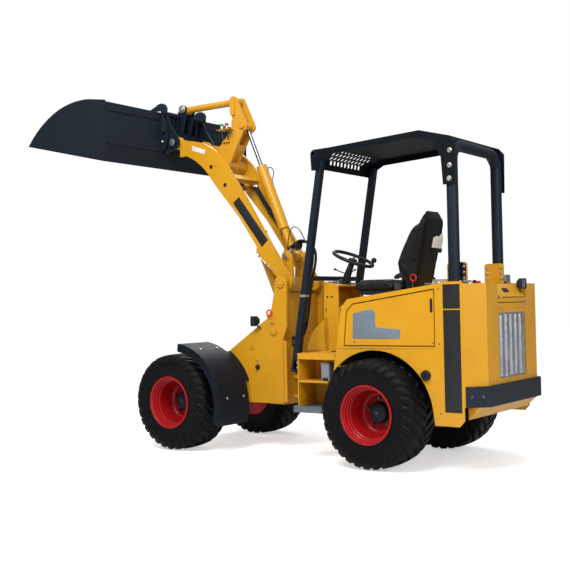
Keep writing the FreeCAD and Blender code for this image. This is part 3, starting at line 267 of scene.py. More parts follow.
def from_bm(name, bm, mat, body, bevel=0.0, angle=40):
    """Finished piece from a bmesh: bevelled in metres, smooth but for edges sharper than the angle."""
    bmesh.ops.recalc_face_normals(bm, faces=bm.faces)
    if bevel:
        bmesh.ops.bevel(bm, geom=sharp_edges(bm, 35), offset=bevel, segments=2, affect="EDGES", clamp_overlap=True)
    for face in bm.faces:
        face.smooth = True
    for edge in sharp_edges(bm, angle):
        edge.smooth = False
    mesh = bpy.data.meshes.new(name)
    bm.to_mesh(mesh)
    bm.free()
    return finish_piece(link(name, mesh), mat, body)


def on_side(thing, label, side):
    """One side's form of an argument: %s becomes the side's label, and x of a 3-D point changes sign."""
    if isinstance(thing, str):
        return thing.replace("%s", label)
    if not isinstance(thing, (list, tuple)):
        return thing
    if len(thing) == 3 and not isinstance(thing[0], (list, tuple)):
        return (side * thing[0], *thing[1:])
    return [on_side(part, label, side) for part in thing]


def both(make, *args, **settings):
    """A piece on each side of the machine, mirrored in its middle plane."""
    for label, side in SIDES:
        own = [on_side(arg, label, side) for arg in args]
        if make is plate:
            own[2:4] = side * args[2], side * args[3]
        make(*own, **settings)


def turns(count):
    """Even angles once round a circle."""
    return [2 * math.pi * k / count for k in range(count)]


def arc_points(start, middle, end, count=10):
    """Points on the circle through three 2-D points, without the start."""
    (ax, ay), (bx, by), (cx, cy) = start, middle, end
    d = 2 * (ax * (by - cy) + bx * (cy - ay) + cx * (ay - by))
    if abs(d) < 1e-6:
        return [end]
    a2, b2, c2 = ax * ax + ay * ay, bx * bx + by * by, cx * cx + cy * cy
    ux = (a2 * (by - cy) + b2 * (cy - ay) + c2 * (ay - by)) / d
    uy = (a2 * (cx - bx) + b2 * (ax - cx) + c2 * (bx - ax)) / d
    r = math.hypot(ax - ux, ay - uy)
    t0 = math.atan2(ay - uy, ax - ux)
    t1 = math.atan2(by - uy, bx - ux)
    t2 = math.atan2(cy - uy, cx - ux)
    span = (t2 - t0) % (2 * math.pi)
    if (t1 - t0) % (2 * math.pi) > span:
        span -= 2 * math.pi
    steps = [t0 + span * (i + 1) / count for i in range(count)]
    return [(ux + r * math.cos(t), uy + r * math.sin(t)) for t in steps]


def flat(steps):
    """Outline points from corners and ("arc", middle, end) steps."""
    points = []
    for step in steps + [steps[0]]:
        if step[0] == "arc":
            points += arc_points(points[-1], step[1], step[2])
        elif not points or math.dist(points[-1], step) > 0.01:
            points.append(step)
    if math.dist(points[0], points[-1]) < 0.01:
        points.pop()
    return points


def rounded(points, radius, count=5):
    """Outline with its corners rounded; radius may be one value or one for each corner."""
    out = []
    for i, point in enumerate(points):
        r = radius[i] if isinstance(radius, (list, tuple)) else radius
        here = Vector(point)
        back, on = Vector(points[i - 1]) - here, Vector(points[(i + 1) % len(points)]) - here
        cut = min(r, back.length / 2.01, on.length / 2.01)
        if cut < 0.05:
            out.append(tuple(here))
            continue
        start, end = here + back.normalized() * cut, here + on.normalized() * cut
        for k in range(count + 1):
            t = k / count
            q = start * (1 - t) ** 2 + here * 2 * t * (1 - t) + end * t ** 2
            out.append((q.x, q.y))
    return out


def oblong(a0, a1, b0, b1, radius=4.0):
    """Rectangle with rounded corners."""
    return rounded([(a0, b0), (a1, b0), (a1, b1), (a0, b1)], radius)


def turned(origin, u, v):
    """Placement that lays the flat plane along the directions u and v at a machine point."""
    u, v = Vector(u).normalized(), Vector(v).normalized()
    n = u.cross(v).normalized()
    v = n.cross(u)
    turn = Matrix((u, v, n)).transposed().to_4x4()
    return Matrix.Translation(at(*origin)) @ turn @ Matrix.Translation(-at(0, 0, 0))


PLANES = {
    "yz": Matrix(((0, 0, 1, 0), (1, 0, 0, 0), (0, 1, 0, 0), (0, 0, 0, 1))),
    "xz": Matrix(((1, 0, 0, 0), (0, 0, -1, 0), (0, 1, 0, 0), (0, 0, 0, 1))),
    "xy": Matrix.Identity(4),
}


def curve_mesh(curve):
    """Mesh of a curve with its thickness."""
    temp = link(curve.name + "_t", curve)
    bpy.context.view_layer.update()
    mesh = bpy.data.meshes.new_from_object(temp.evaluated_get(bpy.context.evaluated_depsgraph_get()))
    bpy.data.objects.remove(temp)
    return mesh


def plate(name, outlines, low, high, mat, body, plane="yz", bevel=1.2, place=None):
    """Plate with rounded edges: first outline is the outside, the rest are holes. Millimetres."""
    curve = bpy.data.curves.new(name + "_c", "CURVE")
    curve.dimensions = "2D"
    curve.fill_mode = "BOTH"
    low, high = sorted((low, high))
    thick = (high - low) / 1000
    bevel = min(bevel / 1000, thick * 0.45)
    curve.extrude = max(thick / 2 - bevel, 0.00005)
    curve.bevel_depth = bevel
    curve.bevel_resolution = 1
    curve.offset = -bevel
    for outline in outlines:
        spline = curve.splines.new("POLY")
        spline.points.add(len(outline) - 1)
        for point, (a, b) in zip(spline.points, outline):
            point.co = (a / 1000, b / 1000, 0, 1)
        spline.use_cyclic_u = True
    mesh = curve_mesh(curve)
    shift = [(low + high) / 2 if axis not in plane else 0 for axis in "xyz"]
    mesh.transform(Matrix.Translation(at(*shift)) @ PLANES[plane])
    if place:
        mesh.transform(place)
    bm = bmesh.new()
    bm.from_mesh(mesh)
    bpy.data.meshes.remove(mesh)
    bmesh.ops.remove_doubles(bm, verts=bm.verts, dist=1e-6)
    return from_bm(name, bm, mat, body)


def add_block(bm, lo, hi):
    """Block between two machine points, into a bmesh."""
    a, b = at(*lo), at(*hi)
    for v in bmesh.ops.create_cube(bm, size=1.0)["verts"]:
        v.co = Vector([(a[i] + b[i]) / 2 + v.co[i] * abs(b[i] - a[i]) for i in range(3)])


def blocks(name, boxes, mat, body, bevel=1.5):
    """Several edge-rounded blocks as one piece."""
    bm = bmesh.new()
    for lo, hi in boxes:
        add_block(bm, lo, hi)
    return from_bm(name, bm, mat, body, bevel=bevel / 1000)


def add_lathe(bm, base, direction, profile, count=32):
    """Turned shape: profile is (along, radius) in millimetres from the base point."""
    turn = Matrix.Translation(at(*base)) @ Vector(direction).normalized().to_track_quat("Z", "Y").to_matrix().to_4x4()
    rings = []
    for along, radius in profile:
        if radius < 0.01:
            rings.append([bm.verts.new(turn @ Vector((0, 0, along / 1000)))])
        else:
            r = radius / 1000
            rings.append([bm.verts.new(turn @ Vector((r * math.cos(t), r * math.sin(t), along / 1000)))
                          for t in turns(count)])
    for a, b in zip(rings, rings[1:]):
        for i in range(count):
            j = (i + 1) % count
            if len(a) == 1 and len(b) == 1:
                break
            if len(a) == 1:
                bm.faces.new((a[0], b[j], b[i]))
            elif len(b) == 1:
                bm.faces.new((a[i], a[j], b[0]))
            else:
                bm.faces.new((a[i], a[j], b[j], b[i]))
    for ring in (rings[0], rings[-1]):
        if len(ring) > 1:
            bm.faces.new(ring)


def lathe(name, base, direction, profile, mat, body, count=48):
    bm = bmesh.new()
    add_lathe(bm, base, direction, profile, count)
    return from_bm(name, bm, mat, body, angle=30)


def bolts(name, places, direction, mat, body, across=9.0, height=6.0, washer=True):
    """Hexagon heads on washers, all facing one way, as one piece."""
    bm = bmesh.new()
    for place in places:
        if washer:
            add_lathe(bm, place, direction, [(0, across * 1.15), (1.2, across * 1.15), (1.6, across)], 20)
        base = Vector(place) + Vector(direction).normalized()
        add_lathe(bm, base, direction, [(0, across * 0.92), (height * 0.75, across * 0.92),
                                        (height, across * 0.72), (height, 0)], 6)
    return from_bm(name, bm, mat, body)


def smooth_line(name, points, radius, mat, body, cyclic=False, resolution=10, sides=3):
    """Hose or pipe along a smooth NURBS line through the neighbourhood of the points, as a mesh."""
    curve = bpy.data.curves.new(name + "_c", "CURVE")
    curve.dimensions = "3D"
    curve.bevel_depth = radius / 1000
    curve.bevel_resolution = sides
    curve.use_fill_caps = True
    spline = curve.splines.new("NURBS")
    spline.points.add(len(points) - 1)
    for point, place in zip(spline.points, points):
        point.co = (*at(*place), 1)
    spline.order_u = 3
    spline.use_endpoint_u = not cyclic
    spline.use_cyclic_u = cyclic
    spline.resolution_u = resolution
    mesh = curve_mesh(curve)
    for polygon in mesh.polygons:
        polygon.use_smooth = True
    mesh.name = name
    return finish_piece(link(name, mesh), mat, body)


def join_pieces(name, pieces):
    """Merge mesh pieces of one material and body into the first."""
    keep = pieces[0]
    bm = bmesh.new()
    for piece in pieces:
        bm.from_mesh(piece.data)
    bm.to_mesh(keep.data)
    bm.free()
    for piece in pieces[1:]:
        bpy.data.objects.remove(piece)
    keep.name = name


def repaint(mat, *names):
    """Give carried-over CAD nodes their finished material."""
    for name in names:
        mesh = NODES[name].data
        if not mesh.materials:
            mesh.materials.append(MAT[mat])
        for index in range(len(mesh.materials)):
            mesh.materials[index] = MAT[mat]


# ------------------------------------------------------------------ camera, light and floor
def camera():
    yaw, pitch, roll = 0.6292, 0.0231, -0.020
    forward = Vector((-math.cos(yaw) * math.cos(pitch), -math.sin(yaw) * math.cos(pitch), math.sin(pitch)))
    right = forward.cross(Vector(UP)).normalized()
    up = right.cross(forward)
    data = bpy.data.cameras.new("camera")
    data.sensor_width, data.lens = 36.0, 59.86
    data.shift_x, data.shift_y = -0.029, -0.0115
    data.clip_start, data.clip_end = 0.1, 200
    axes = Matrix((right * math.cos(roll) + up * math.sin(roll),
                   up * math.cos(roll) - right * math.sin(roll), -forward))
    piece = link("camera", data)
    piece.matrix_world = Matrix.Translation(at(6457.3, 4605.7, 1227.5)) @ axes.transposed().to_4x4()
    bpy.context.scene.camera = piece


def floor_material():
    """Pale floor that fades out into the white surround far from the machine."""
    look = Look("floor_pale")
    base = look.ramp(look.noise(0.7, 4.0), (0.3, (0.80, 0.80, 0.80)), (0.7, (0.83, 0.83, 0.83)))
    look.link(base, look.shader.inputs["Base Color"])
    look.shader.inputs["Roughness"].default_value = 0.9
    look.shader.inputs["Specular IOR Level"].default_value = 0.1
    glow = look.multiply(look.add("LightPath").outputs["Is Camera Ray"])
    glow.inputs[1].default_value = 0.5
    look.shader.inputs["Emission Color"].default_value = (1, 1, 1, 1)
    look.link(glow.outputs[0], look.shader.inputs["Emission Strength"])
    length = look.add("VectorMath", operation="LENGTH")
    look.link(look.where, length.inputs[0])
    blend = look.add("MixShader")
    look.link(look.spread(length.outputs["Value"], 3.0, 5.5, 0.0, 1.0), blend.inputs[0])
    look.link(look.shader.outputs[0], blend.inputs[1])
    look.link(look.add("BsdfTransparent").outputs[0], blend.inputs[2])
    look.link(blend.outputs[0], look.nodes["Material Output"].inputs["Surface"])
    return look.material


def stage():
    bm = bmesh.new()
    bmesh.ops.create_circle(bm, cap_ends=True, segments=96, radius=5.6)
    mesh = bpy.data.meshes.new("floor")
    bm.to_mesh(mesh)
    bm.free()
    floor = link("floor", mesh)
    floor.location.z = CAD_BOX[0].z - 0.0005
    floor.data.materials.append(floor_material())


def surround():
    """World that is white to the camera and lights the machine more from above."""
    world = bpy.data.worlds.new("world")
    bpy.context.scene.world = world
    tree = Tree(world)
    back = tree.nodes["Background"]
    back.inputs["Color"].default_value = (1, 1, 1, 1)
    height = tree.add("SeparateXYZ")
    tree.link(tree.add("TexCoord").outputs["Generated"], height.inputs[0])
    room = tree.spread(height.outputs["Z"], -0.2, 0.8, 0.18, 0.70)
    seen = tree.add("Mix", data_type="FLOAT")
    tree.link(tree.add("LightPath").outputs["Is Camera Ray"], seen.inputs[0])
    tree.link(room, seen.inputs[2])
    seen.inputs[3].default_value = 1.0
    tree.link(seen.outputs[0], back.inputs["Strength"])


def lamp(name, place, target, size, power):
    data = bpy.data.lights.new(name, "AREA")
    data.shape, data.size, data.energy = "DISK", size, power
    piece = link(name, data)
    piece.location = at(*place)
    piece.rotation_mode = "QUATERNION"
    piece.rotation_quaternion = (at(*target) - at(*place)).to_track_quat("-Z", "Y")


camera()
stage()
surround()
lamp("key", (4200, 1200, 5600), (0, 0, 1200), 3.2, 360)
lamp("fill", (2700, 6000, 2600), (0, 300, 1200), 3.0, 128)
lamp("back", (-4200, -3200, 4600), (0, 0, 1400), 3.0, 120)
bpy.context.scene.view_settings.view_transform = "Standard"


# ------------------------------------------------------------------ wheels
TRACK = 550.0
TYRE_R = 400.0
HALF_W = 186.0
RIM_R = 208.0
LUGS = 30


def tyre_section(t):
    """Point (across, radius) of the bare carcass for t from -1 (inside bead) to 1 (outside bead)."""
    s = abs(t)
    sign = 1 if t >= 0 else -1
    if s < 0.52:
        k = s / 0.52
        return sign * 140 * k, TYRE_R - 13 - 8 * k ** 2.2
    k = (s - 0.52) / 0.48
    ang = k * math.radians(150)
    across = 140 + 34 * math.sin(min(ang, math.pi / 2)) if k < 0.6 else 174 - 14 * ((k - 0.6) / 0.4) ** 2
    radius = TYRE_R - 21 - (TYRE_R - 21 - RIM_R - 4) * (k ** 1.25)
    return sign * across, radius


def tread_height(t, turn):
    """How far the tread stands out of the carcass: slanted bars from each shoulder to past the middle."""
    side = 1 if t >= 0 else -1
    s = abs(t)
    if s > 0.82:
        return 0.0
    lead = 0.62 * s ** 1.15 if s > 0.06 else 0.62 * 0.06 ** 1.15
    phase = (turn / (2 * math.pi) * LUGS + side * 0.25 - lead * 3.6) % 1.0
    width = 0.66 + 0.12 * min(1.0, s / 0.5)
    d = abs(phase - 0.5) * 2
    edge = 0.14
    bar = 1.0 if d < width - edge else max(0.0, (width - d) / edge)
    fade = 1.0 if s < 0.70 else max(0.0, 1 - (s - 0.70) / 0.12)
    return 12.5 * min(1.0, bar) * fade


def tyre(tail, side, axle_y):
    around, across = LUGS * 12, 66
    bm = bmesh.new()
    grid = []
    for turn in turns(around):
        row = []
        for j in range(across + 1):
            t = -1 + 2 * j / across
            x, r = tyre_section(t)
            s, h = abs(t), tread_height(t, turn)
            if s > 0.52:
                lean = min(1.0, (s - 0.52) / 0.16)
                x += math.copysign(h * (0.1 + 0.7 * lean), t)
                r += h * (0.9 - 0.6 * lean)
            else:
                r += h
            r = min(r, TYRE_R - 0.5)
            x = side * (TRACK + max(-HALF_W + 0.5, min(HALF_W - 0.5, x)))
            row.append(bm.verts.new(at(x, axle_y + r * math.cos(turn), AXLE_Z + r * math.sin(turn))))
        grid.append(row)
    for a, b in zip(grid, grid[1:] + grid[:1]):
        for j in range(across):
            bm.faces.new((a[j], a[j + 1], b[j + 1], b[j]))
    piece = from_bm("tyre_tread_" + tail, bm, "tyre", "wheel_" + tail, angle=55)
    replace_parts(piece, "tyre_" + tail)


# (across from the track's middle, radius), from the inner bead to the middle of the dish
RIM_PROFILE = [
    (-166, 216), (-171, 216), (-171, 204), (-160, 196), (-110, 194), (-60, 188), (-52, 180), (-22, 176),
    (60, 180), (100, 186), (118, 190), (140, 198), (150, 202), (154, 210), (160, 214), (165, 217), (171, 215),
    (173, 209), (171, 203), (166, 199), (150, 195), (147, 189), (127, 187), (123, 181), (102, 179), (98, 173),
    (60, 169), (-18, 162), (-34, 155), (-42, 146), (-46, 138), (-46, 128), (-42, 120), (-42, 92), (-38, 84), (-38, 0),
]
DISH, NUT_CIRCLE = -42, 104


def rim(tail, side, axle_y):
    """Rim with hub, nuts and valve of one wheel."""
    body, out = "wheel_" + tail, (side, 0, 0)

    def place(along, radius=0, degrees=0):
        t = math.radians(degrees)
        return side * (TRACK + along), axle_y + radius * math.cos(t), AXLE_Z + radius * math.sin(t)

    bm = bmesh.new()
    add_lathe(bm, place(0), out, RIM_PROFILE, 72)
    piece = from_bm("rim_detail_" + tail, bm, "red", body, angle=32)
    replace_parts(piece, "rim_" + tail)
    lathe("hub_cap_" + tail, place(DISH), out,
          [(0, 84), (6, 84), (8, 78), (34, 74), (44, 70), (50, 60), (52, 30), (52, 0)], "steel", body, 48)
    lathe("hub_nose_" + tail, place(10), out, [(0, 16), (4, 16), (7, 13), (7, 0)], "dark_metal", body, 24)
    bolts("wheel_nuts_" + tail, [place(DISH, NUT_CIRCLE, 90 + 72 * k) for k in range(5)], out,
          "dark_metal", body, 14, 20)
    t = math.radians(60)
    lathe("valve_" + tail, place(60, 164, 60), (side, -0.35 * math.cos(t), -0.35 * math.sin(t)),
          [(0, 6), (14, 5), (15, 4), (38, 4), (38, 0)], "hose", body, 12)


for end, axle_y in (("front", -AXLE_Y), ("rear", AXLE_Y)):
    for label, side in SIDES:
        tyre("%s_%s" % (end, label), side, axle_y)
        rim("%s_%s" % (end, label), side, axle_y)

# ------------------------------------------------------------------ body sides
film = rounded([(781, 1124), (942, 1156), (972, 1132), (971, 1019), (1180, 1005), (1176, 938), (772, 935)],
               [10, 26, 30, 26, 10, 14, 14])
both(plate, "door_film_%s", [film], 564.1, 565.0, "film", "door_%s", bevel=0.2)
both(plate, "handle_frame_%s", [oblong(1422, 1442, 1124, 1222, 9.9), oblong(1427, 1437, 1131, 1215, 4.9)],
     563.6, 566.4, "plastic", "door_%s", bevel=0.9)
both(plate, "handle_pocket_%s", [oblong(1425, 1439, 1128, 1218, 6)], 563.7, 564.4, "strip", "door_%s", bevel=0.2)
for part, low, high in (("low", 432, 1141), ("top", 1149, 1319)):
    both(plate, "rear_strip_" + part + "_%s", [oblong(1524, 1655, low, high, 3)], 564.9, 565.9, "strip", REAR,
         bevel=0.3)
both(bolts, "door_screws_%s", [(564.2, y, 912) for y in (786, 1440)], OUT, "dark_metal", "door_%s", 5, 2.5)
both(bolts, "side_screws_%s", [(565, 1490, z) for z in (905, 1290, 420)], OUT, "dark_metal", REAR, 5, 2.5)

cap = [(0, 38), (3, 38), (4, 36), (6, 29), (8, 29), (8, 32), (10, 33.5), (12, 33.5), (13, 32.2), (15, 32.2),
       (16, 33.5), (22, 33.5), (25, 31), (26.5, 25), (25, 22), (25, 0)]
lathe("fuel_cap", (564.8, 1381, 683), OUT, cap, "plastic", REAR)
blocks("fuel_cap_grip", [((588, 1376, 661), (598, 1386, 705))], "plastic", REAR, 3.0)


def sector(inner, outer, start, stop=150, count=36):
    """Outline of part of a ring about the rear axle, angles in degrees from the machine's rear."""
    angles = [math.radians(start + (stop - start) * k / count) for k in range(count + 1)]
    return ([(AXLE_Y + outer * math.cos(t), AXLE_Z + outer * math.sin(t)) for t in angles]
            + [(AXLE_Y + inner * math.cos(t), AXLE_Z + inner * math.sin(t)) for t in reversed(angles)])


# Black arch lining and a black plate behind each rear wheel paint the shade inside the wheel arches.
both(plate, "arch_lining_%s", [sector(461.6, 464.6, 6)], 266, 557, "black", REAR, bevel=0.4)
both(plate, "arch_guard_%s", [sector(250, 463, 12)], 266, 268.5, "black", REAR, bevel=0.4)
both(plate, "door_ledge_%s", [rounded([(632, 862), (632, 876), (1452, 885), (1452, 872)], 3)], 564.9, 568.4,
     "yellow", REAR, bevel=1.5)

# ------------------------------------------------------------------ rear end
GRILLE_LOW, GRILLE_HIGH, GRILLE_Y = 648.0, 1112.0, 1779.5


def corrugation(x):
    """Depth of the guard's folds across the machine: five flat-topped ridges."""
    pitch = 84.0
    phase = ((x + 2.5 * pitch) / pitch) % 1.0
    if abs(x) > 2.5 * pitch:
        return 0.0
    rise = min(1.0, max(0.0, (0.5 - abs(phase - 0.5)) / 0.16 - 0.5))
    return rise * 15.0 - 1.0


def grille():
    """Folded guard sheet with close rows of slots, on a bolted frame."""
    xs = [-222 + 444 * i / 148 for i in range(149)]
    rows, pitch = 52, 8.2
    base_z = (GRILLE_LOW + GRILLE_HIGH) / 2 - rows * pitch / 2
    bm = bmesh.new()
    for row in range(rows + 1):
        z0 = base_z + row * pitch - 1.5
        z1 = z0 + 4.3
        strip = []
        for x in xs:
            y = GRILLE_Y + corrugation(x)
            strip.append([bm.verts.new(at(x, yy, zz)) for yy, zz in ((y, z0), (y, z1), (y - 1.5, z1), (y - 1.5, z0))])
        for p, q in zip(strip, strip[1:]):
            for k in range(4):
                bm.faces.new((p[k], q[k], q[(k + 1) % 4], p[(k + 1) % 4]))
        bm.faces.new(strip[0])
        bm.faces.new(strip[-1][::-1])
    for k, x in enumerate(xs):
        if k % 4 == 0 or abs(corrugation(x) - 6.5) < 6.4:
            y = GRILLE_Y + corrugation(x)
            add_block(bm, (x - 1.1, y - 1.3, base_z), (x + 1.1, y - 0.2, base_z + rows * pitch))
    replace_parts(from_bm("grille_guard", bm, "grating", REAR), "radiator_grille")
    plate("grille_frame", [oblong(-248, 248, GRILLE_LOW - 6, GRILLE_HIGH + 6, 6),
                           oblong(-214, 214, GRILLE_LOW + 20, GRILLE_HIGH - 20, 4)], 1774.5, 1781.5,
          "zinc", REAR, plane="xz", bevel=1.0)
    # Black sheet close behind the guard paints the shade seen through its slots.
    plate("grille_back_painted_shade", [oblong(-246, 246, GRILLE_LOW - 4, GRILLE_HIGH + 4, 4)], 1773, 1774.4,
          "strip", REAR, plane="xz", bevel=0.3)
    low, high = GRILLE_LOW + 10, GRILLE_HIGH - 10
    spots = [(x, 1781.5, low + k * (high - low) / 5) for k in range(6) for x in (-231, 231)]
    spots += [(-231 + k * 115.5, 1781.5, z) for k in range(1, 4) for z in (low, high)]
    bolts("grille_bolts", spots, BACK, "zinc", REAR, 6.5, 5)


grille()
latch = turned((43, 1757, 1271.5), OUT, (0, 58, -95))
plate("lid_latch_frame", [oblong(-46, 46, -17, 17, 6), oblong(-30, 30, -9, 9, 4)], -2, 2.6, "plastic", "rear_lid",
      plane="xy", bevel=0.8, place=latch)
plate("lid_latch_paddle", [oblong(-31, 31, -10, 10, 3)], -2, 0.9, "strip", "rear_lid", plane="xy", bevel=0.4,
      place=latch)
for part, low, high in (("top", 1187, 1216), ("low", 1144, 1180)):
    plate("rear_band_" + part, [oblong(-250, 250, low, high, 3)], 1789, 1793.5, "yellow", REAR, plane="xz")
# Black strip set back between the two bands paints the shade in the gap between them.
plate("rear_band_gap_painted_shade", [oblong(-248, 248, 1181, 1186, 1)], 1789, 1790.4, "strip", REAR, plane="xz", bevel=0.2)
bolts("rear_band_screws", [(x, 1793.5, z) for x in (-238, 238) for z in (1204, 1166)], BACK, "zinc", REAR, 8.5, 4)


def work_lamp(name, place, ahead, body, size=60.0, mat="plastic", stalk=None):
    """Square work lamp: ribbed housing, bezel, lens and its little bracket."""
    half = size / 2
    rest = turned(place, Vector(UP).cross(Vector(ahead)), UP)

    def slab(part, squares, low, high, bevel=0.8, mat=mat):
        outlines = [oblong(-half * s, half * s, -half * s, half * s, size * r) for s, r in squares]
        return plate(name + part, outlines, size * low, size * high, mat, body, plane="xy", bevel=bevel, place=rest)

    ribs = [slab("_r%d" % k, [(0.82 - 0.1 * k, 0.1)], -0.05 - 0.08 * k, -0.01 - 0.08 * k, 0.6) for k in range(4)]
    join_pieces(name, [slab("_h", [(1, 0.16)], 0, 0.32, size * 0.07), *ribs,
                       slab("_f", [(1, 0.16), (0.8, 0.1)], 0.32, 0.40)])
    slab("_lens", [(0.81, 0.1)], 0.3, 0.35, mat="lens")
    if stalk:
        foot, middle = Vector(stalk), Vector(place)
        top = middle - Vector((0, 0, half))
        smooth_line(name + "_stalk", [foot, foot + (top - foot) * 0.4, top, middle], 5, "dark_metal", body)
        lathe(name + "_nut", foot, top - foot, [(0, 15), (3, 15), (4, 10), (12, 10), (12, 0)], "dark_metal", body, 6)


work_lamp("rear_lamp", (-205, 1770, 1320), (0.06, 1, 0), "rear_lid", 78, stalk=(-205, 1764, 1258))
work_lamp("rear_marker", (-215, 1650, 1362), (0.2, 1, 0), REAR, 56, "box", stalk=(-215, 1645, 1324))
both(bolts, "bumper_bolts_%s", [(483, 1775, 541), (538, 1716.8, 541)], (0.726, 0.687, 0), "dark_metal", REAR, 9, 5)

# ------------------------------------------------------------------ roll hoop feet and canopy fixings
rows = (1362, 1404, 1446)
both(bolts, "foot_bolts_in_%s", [(305.7, y, z) for y in (1458, 1572) for z in rows], IN, "zinc", REAR, 10, 8)
both(bolts, "foot_bolts_out_%s", [(330, y, z) for y in (1462, 1574) for z in rows], OUT, "zinc", REAR, 10, 9)
both(bolts, "base_bolts_%s", [(x, y, 1339.7) for x in (345, 410) for y in (1450, 1586)], UP, "zinc", REAR, 9, 7)
both(blocks, "foot_shim_%s", [((322, 1306, 1325), (426, 1434, 1333))], "zinc", REAR, 1.0)
both(bolts, "gusset_bolts_%s", [(424.3, y, z) for y, z in ((1531, 2270), (1528, 2164), (1524, 2070))], OUT,
     "zinc", REAR, 17, 12)
both(lathe, "lug_bush_%s", (412, 352, 2372), OUT, [(0, 24), (13.6, 24), (14.4, 22), (14.4, 15), (0, 15)],
     "steel", REAR, 32)
both(smooth_line, "foot_weld_%s", [(370 + 43 * math.cos(t), 1520 + 43 * math.sin(t), 1341) for t in turns(24)],
     4, "steel", REAR, cyclic=True, resolution=4)
blocks("leg_bar", [((312, 1322, 1343), (332, 1442, 1361)), ((316, 1330, 1324.5), (328, 1350, 1344)),
                   ((316, 1412, 1324.5), (328, 1432, 1344))], "zinc", REAR, 2.0)
blocks("filler_block", [((338, 1600, 1331), (404, 1640, 1345))], "box", REAR, 2.5)
lathe("filler_knob", (300, 1640, 1324), UP, [(0, 22), (4, 22), (5, 15), (20, 14), (24, 10), (24, 0)],
      "plastic", REAR, 24)
lathe("filler_red", (250, 1648, 1324), UP, [(0, 20), (3, 20), (4, 16), (15, 16), (18, 12), (18, 0)],
      "redcap", REAR, 24)

# ------------------------------------------------------------------ front posts
LEAN = (384.0 - 239.0) / (2228.0 - 1403.0)


def post_y(z):
    """How far back the leaning front posts are at a height."""
    return 239.0 + (z - 1403.0) * LEAN


both(plate, "post_foot_%s", [rounded([(post_y(690) - 6, 682), (206, 682), (206, 752), (post_y(752) - 6, 752)], 8)],
     404, 413, "steel", REAR)
both(bolts, "post_bolts_%s", [(413, y, z) for z in (735, 700) for y in (148, 188)], OUT, "zinc", REAR, 8, 7)
both(plate, "post_tab_%s", [rounded([(128, 676), (262, 668), (262, 776), (128, 758)], 8)], 391, 403.6, "yellow", REAR)
y = post_y(1262)
both(blocks, "post_clamp_%s", [((360.5, y - 28, 1252), (415.5, y + 28, 1272))], "zinc", REAR, 1.5)
both(bolts, "post_clamp_bolt_%s", [(355, y, 1262)], IN, "zinc", REAR, 8, 8)

# ------------------------------------------------------------------ tower and front frame
# (y, z) of the pins' middles, of the front fender's bend, and x of the tower's and arms' outer faces
BOOM_PIN, LIFT_PIN, TILT_PIN = (-112, 1375), (-190, 983), (-165, 1600)
TIP_PIN, CRANK_PIN, LINK_PIN = (-1310, 2670), (-655, 2765), (-1365, 3005)
FENDER_Y, FENDER_Z = -935, 375
TOWER_X, ARM_X = 270, 205


def pin_cap(name, point, out, radius, mat, body, high):
    """Boss ring with its pin end and grease nipple."""
    x, y, z = point
    ring = [(0, radius), (high - 2, radius), (high, radius - 2), (high, radius * 0.62), (0, radius * 0.62)]
    lathe(name + "_ring", point, out, ring, mat, body)
    end = [(0, radius * 0.6), (high + 2, radius * 0.6), (high + 4, radius * 0.54), (high + 4, radius * 0.16),
           (high + 2, radius * 0.12), (high + 2, 0)]
    lathe(name + "_end", point, out, end, mat, body, 32)
    lathe(name + "_nipple", (x + out[0] * (high + 1), y, z), out,
          [(0, 4.5), (4, 4.5), (5, 3), (8, 3), (9, 2.2), (10.5, 2.6), (12, 1.4), (12, 0)], "zinc", body, 12)


def fender_arc(x, radius, angles):
    """Points about the middle of the front fender's bend, angles in degrees."""
    return [(x, FENDER_Y + radius * math.cos(math.radians(t)), FENDER_Z + radius * math.sin(math.radians(t)))
            for t in angles]


both(pin_cap, "boom_boss_%s", (TOWER_X, *BOOM_PIN), OUT, 40, "yellow", FRONT, 12)
both(pin_cap, "lift_boss_%s", (TOWER_X, *LIFT_PIN), OUT, 31, "yellow", FRONT, 14.2)
both(pin_cap, "tilt_boss_%s", (110, *TILT_PIN), OUT, 38, "yellow", FRONT, 8)
both(plate, "lift_keeper_%s", [oblong(-232, -178, 1036, 1056, 8)], 270.1, 276, "yellow", FRONT)
both(bolts, "lift_keeper_bolts_%s", [(276, y, 1046) for y in (-221, -189)], OUT, "zinc", FRONT, 7, 6)
both(bolts, "frame_studs_%s", [(270.1, y, z) for y, z in ((-426, 850), (-440, 826), (-412, 826))], OUT,
     "plastic", FRONT, 6, 4, washer=False)
both(lathe, "grease_cap_%s", (TOWER_X, -366, 679), OUT, [(0, 22), (4, 22), (5, 17), (18, 16), (22, 12), (22, 0)],
     "plastic", FRONT, 32)
both(lathe, "grease_plug_%s", (TOWER_X, -372, 735), OUT, [(0, 9), (3, 9), (4, 6), (8, 6), (8, 0)], "zinc", FRONT, 16)
both(work_lamp, "front_lamp_%s", (296, -356, 1062), (0.25, -1, -0.05), FRONT, 84)
both(smooth_line, "front_lamp_arm_%s", [(262, -330, 1000), (300, -332, 1008), (302, -338, 1045), (298, -342, 1060)],
     7, "dark_metal", FRONT)
both(smooth_line, "lifting_ring_%s", [(281, -228 + 25 * math.cos(t), 1128 + 25 * math.sin(t)) for t in turns(16)],
     6.5, "ring", FRONT, cyclic=True, resolution=5, sides=4)
both(plate, "lifting_lug_%s", [rounded([(-262, 1096), (-206, 1076), (-204, 1112), (-222, 1124), (-250, 1122)], 8)],
     270.1, 277, "yellow", FRONT)
both(plate, "tower_rib_%s", [rounded([(-103, 396), (-70, 396), (-70, 890), (-103, 905)], 5)], 246, 264,
     "yellow", FRONT)
for k, place in enumerate(fender_arc(392, 515.3, (8, 64)) + fender_arc(600, 515.3, (8, 64))):
    both(bolts, "fender_bolt_%%s_%d" % k, [place], (0, place[1] - FENDER_Y, place[2] - FENDER_Z), "zinc", FRONT, 8, 6)
for part, radius, x, thick in (("lip", 453, 695.5, 3.6), ("edge", 513, 332, 3.0), ("crown", 514.2, 693, 3.4)):
    both(smooth_line, "fender_" + part + "_%s", fender_arc(x, radius, range(-16, 83, 7)), thick, "fender", FRONT,
         resolution=4)

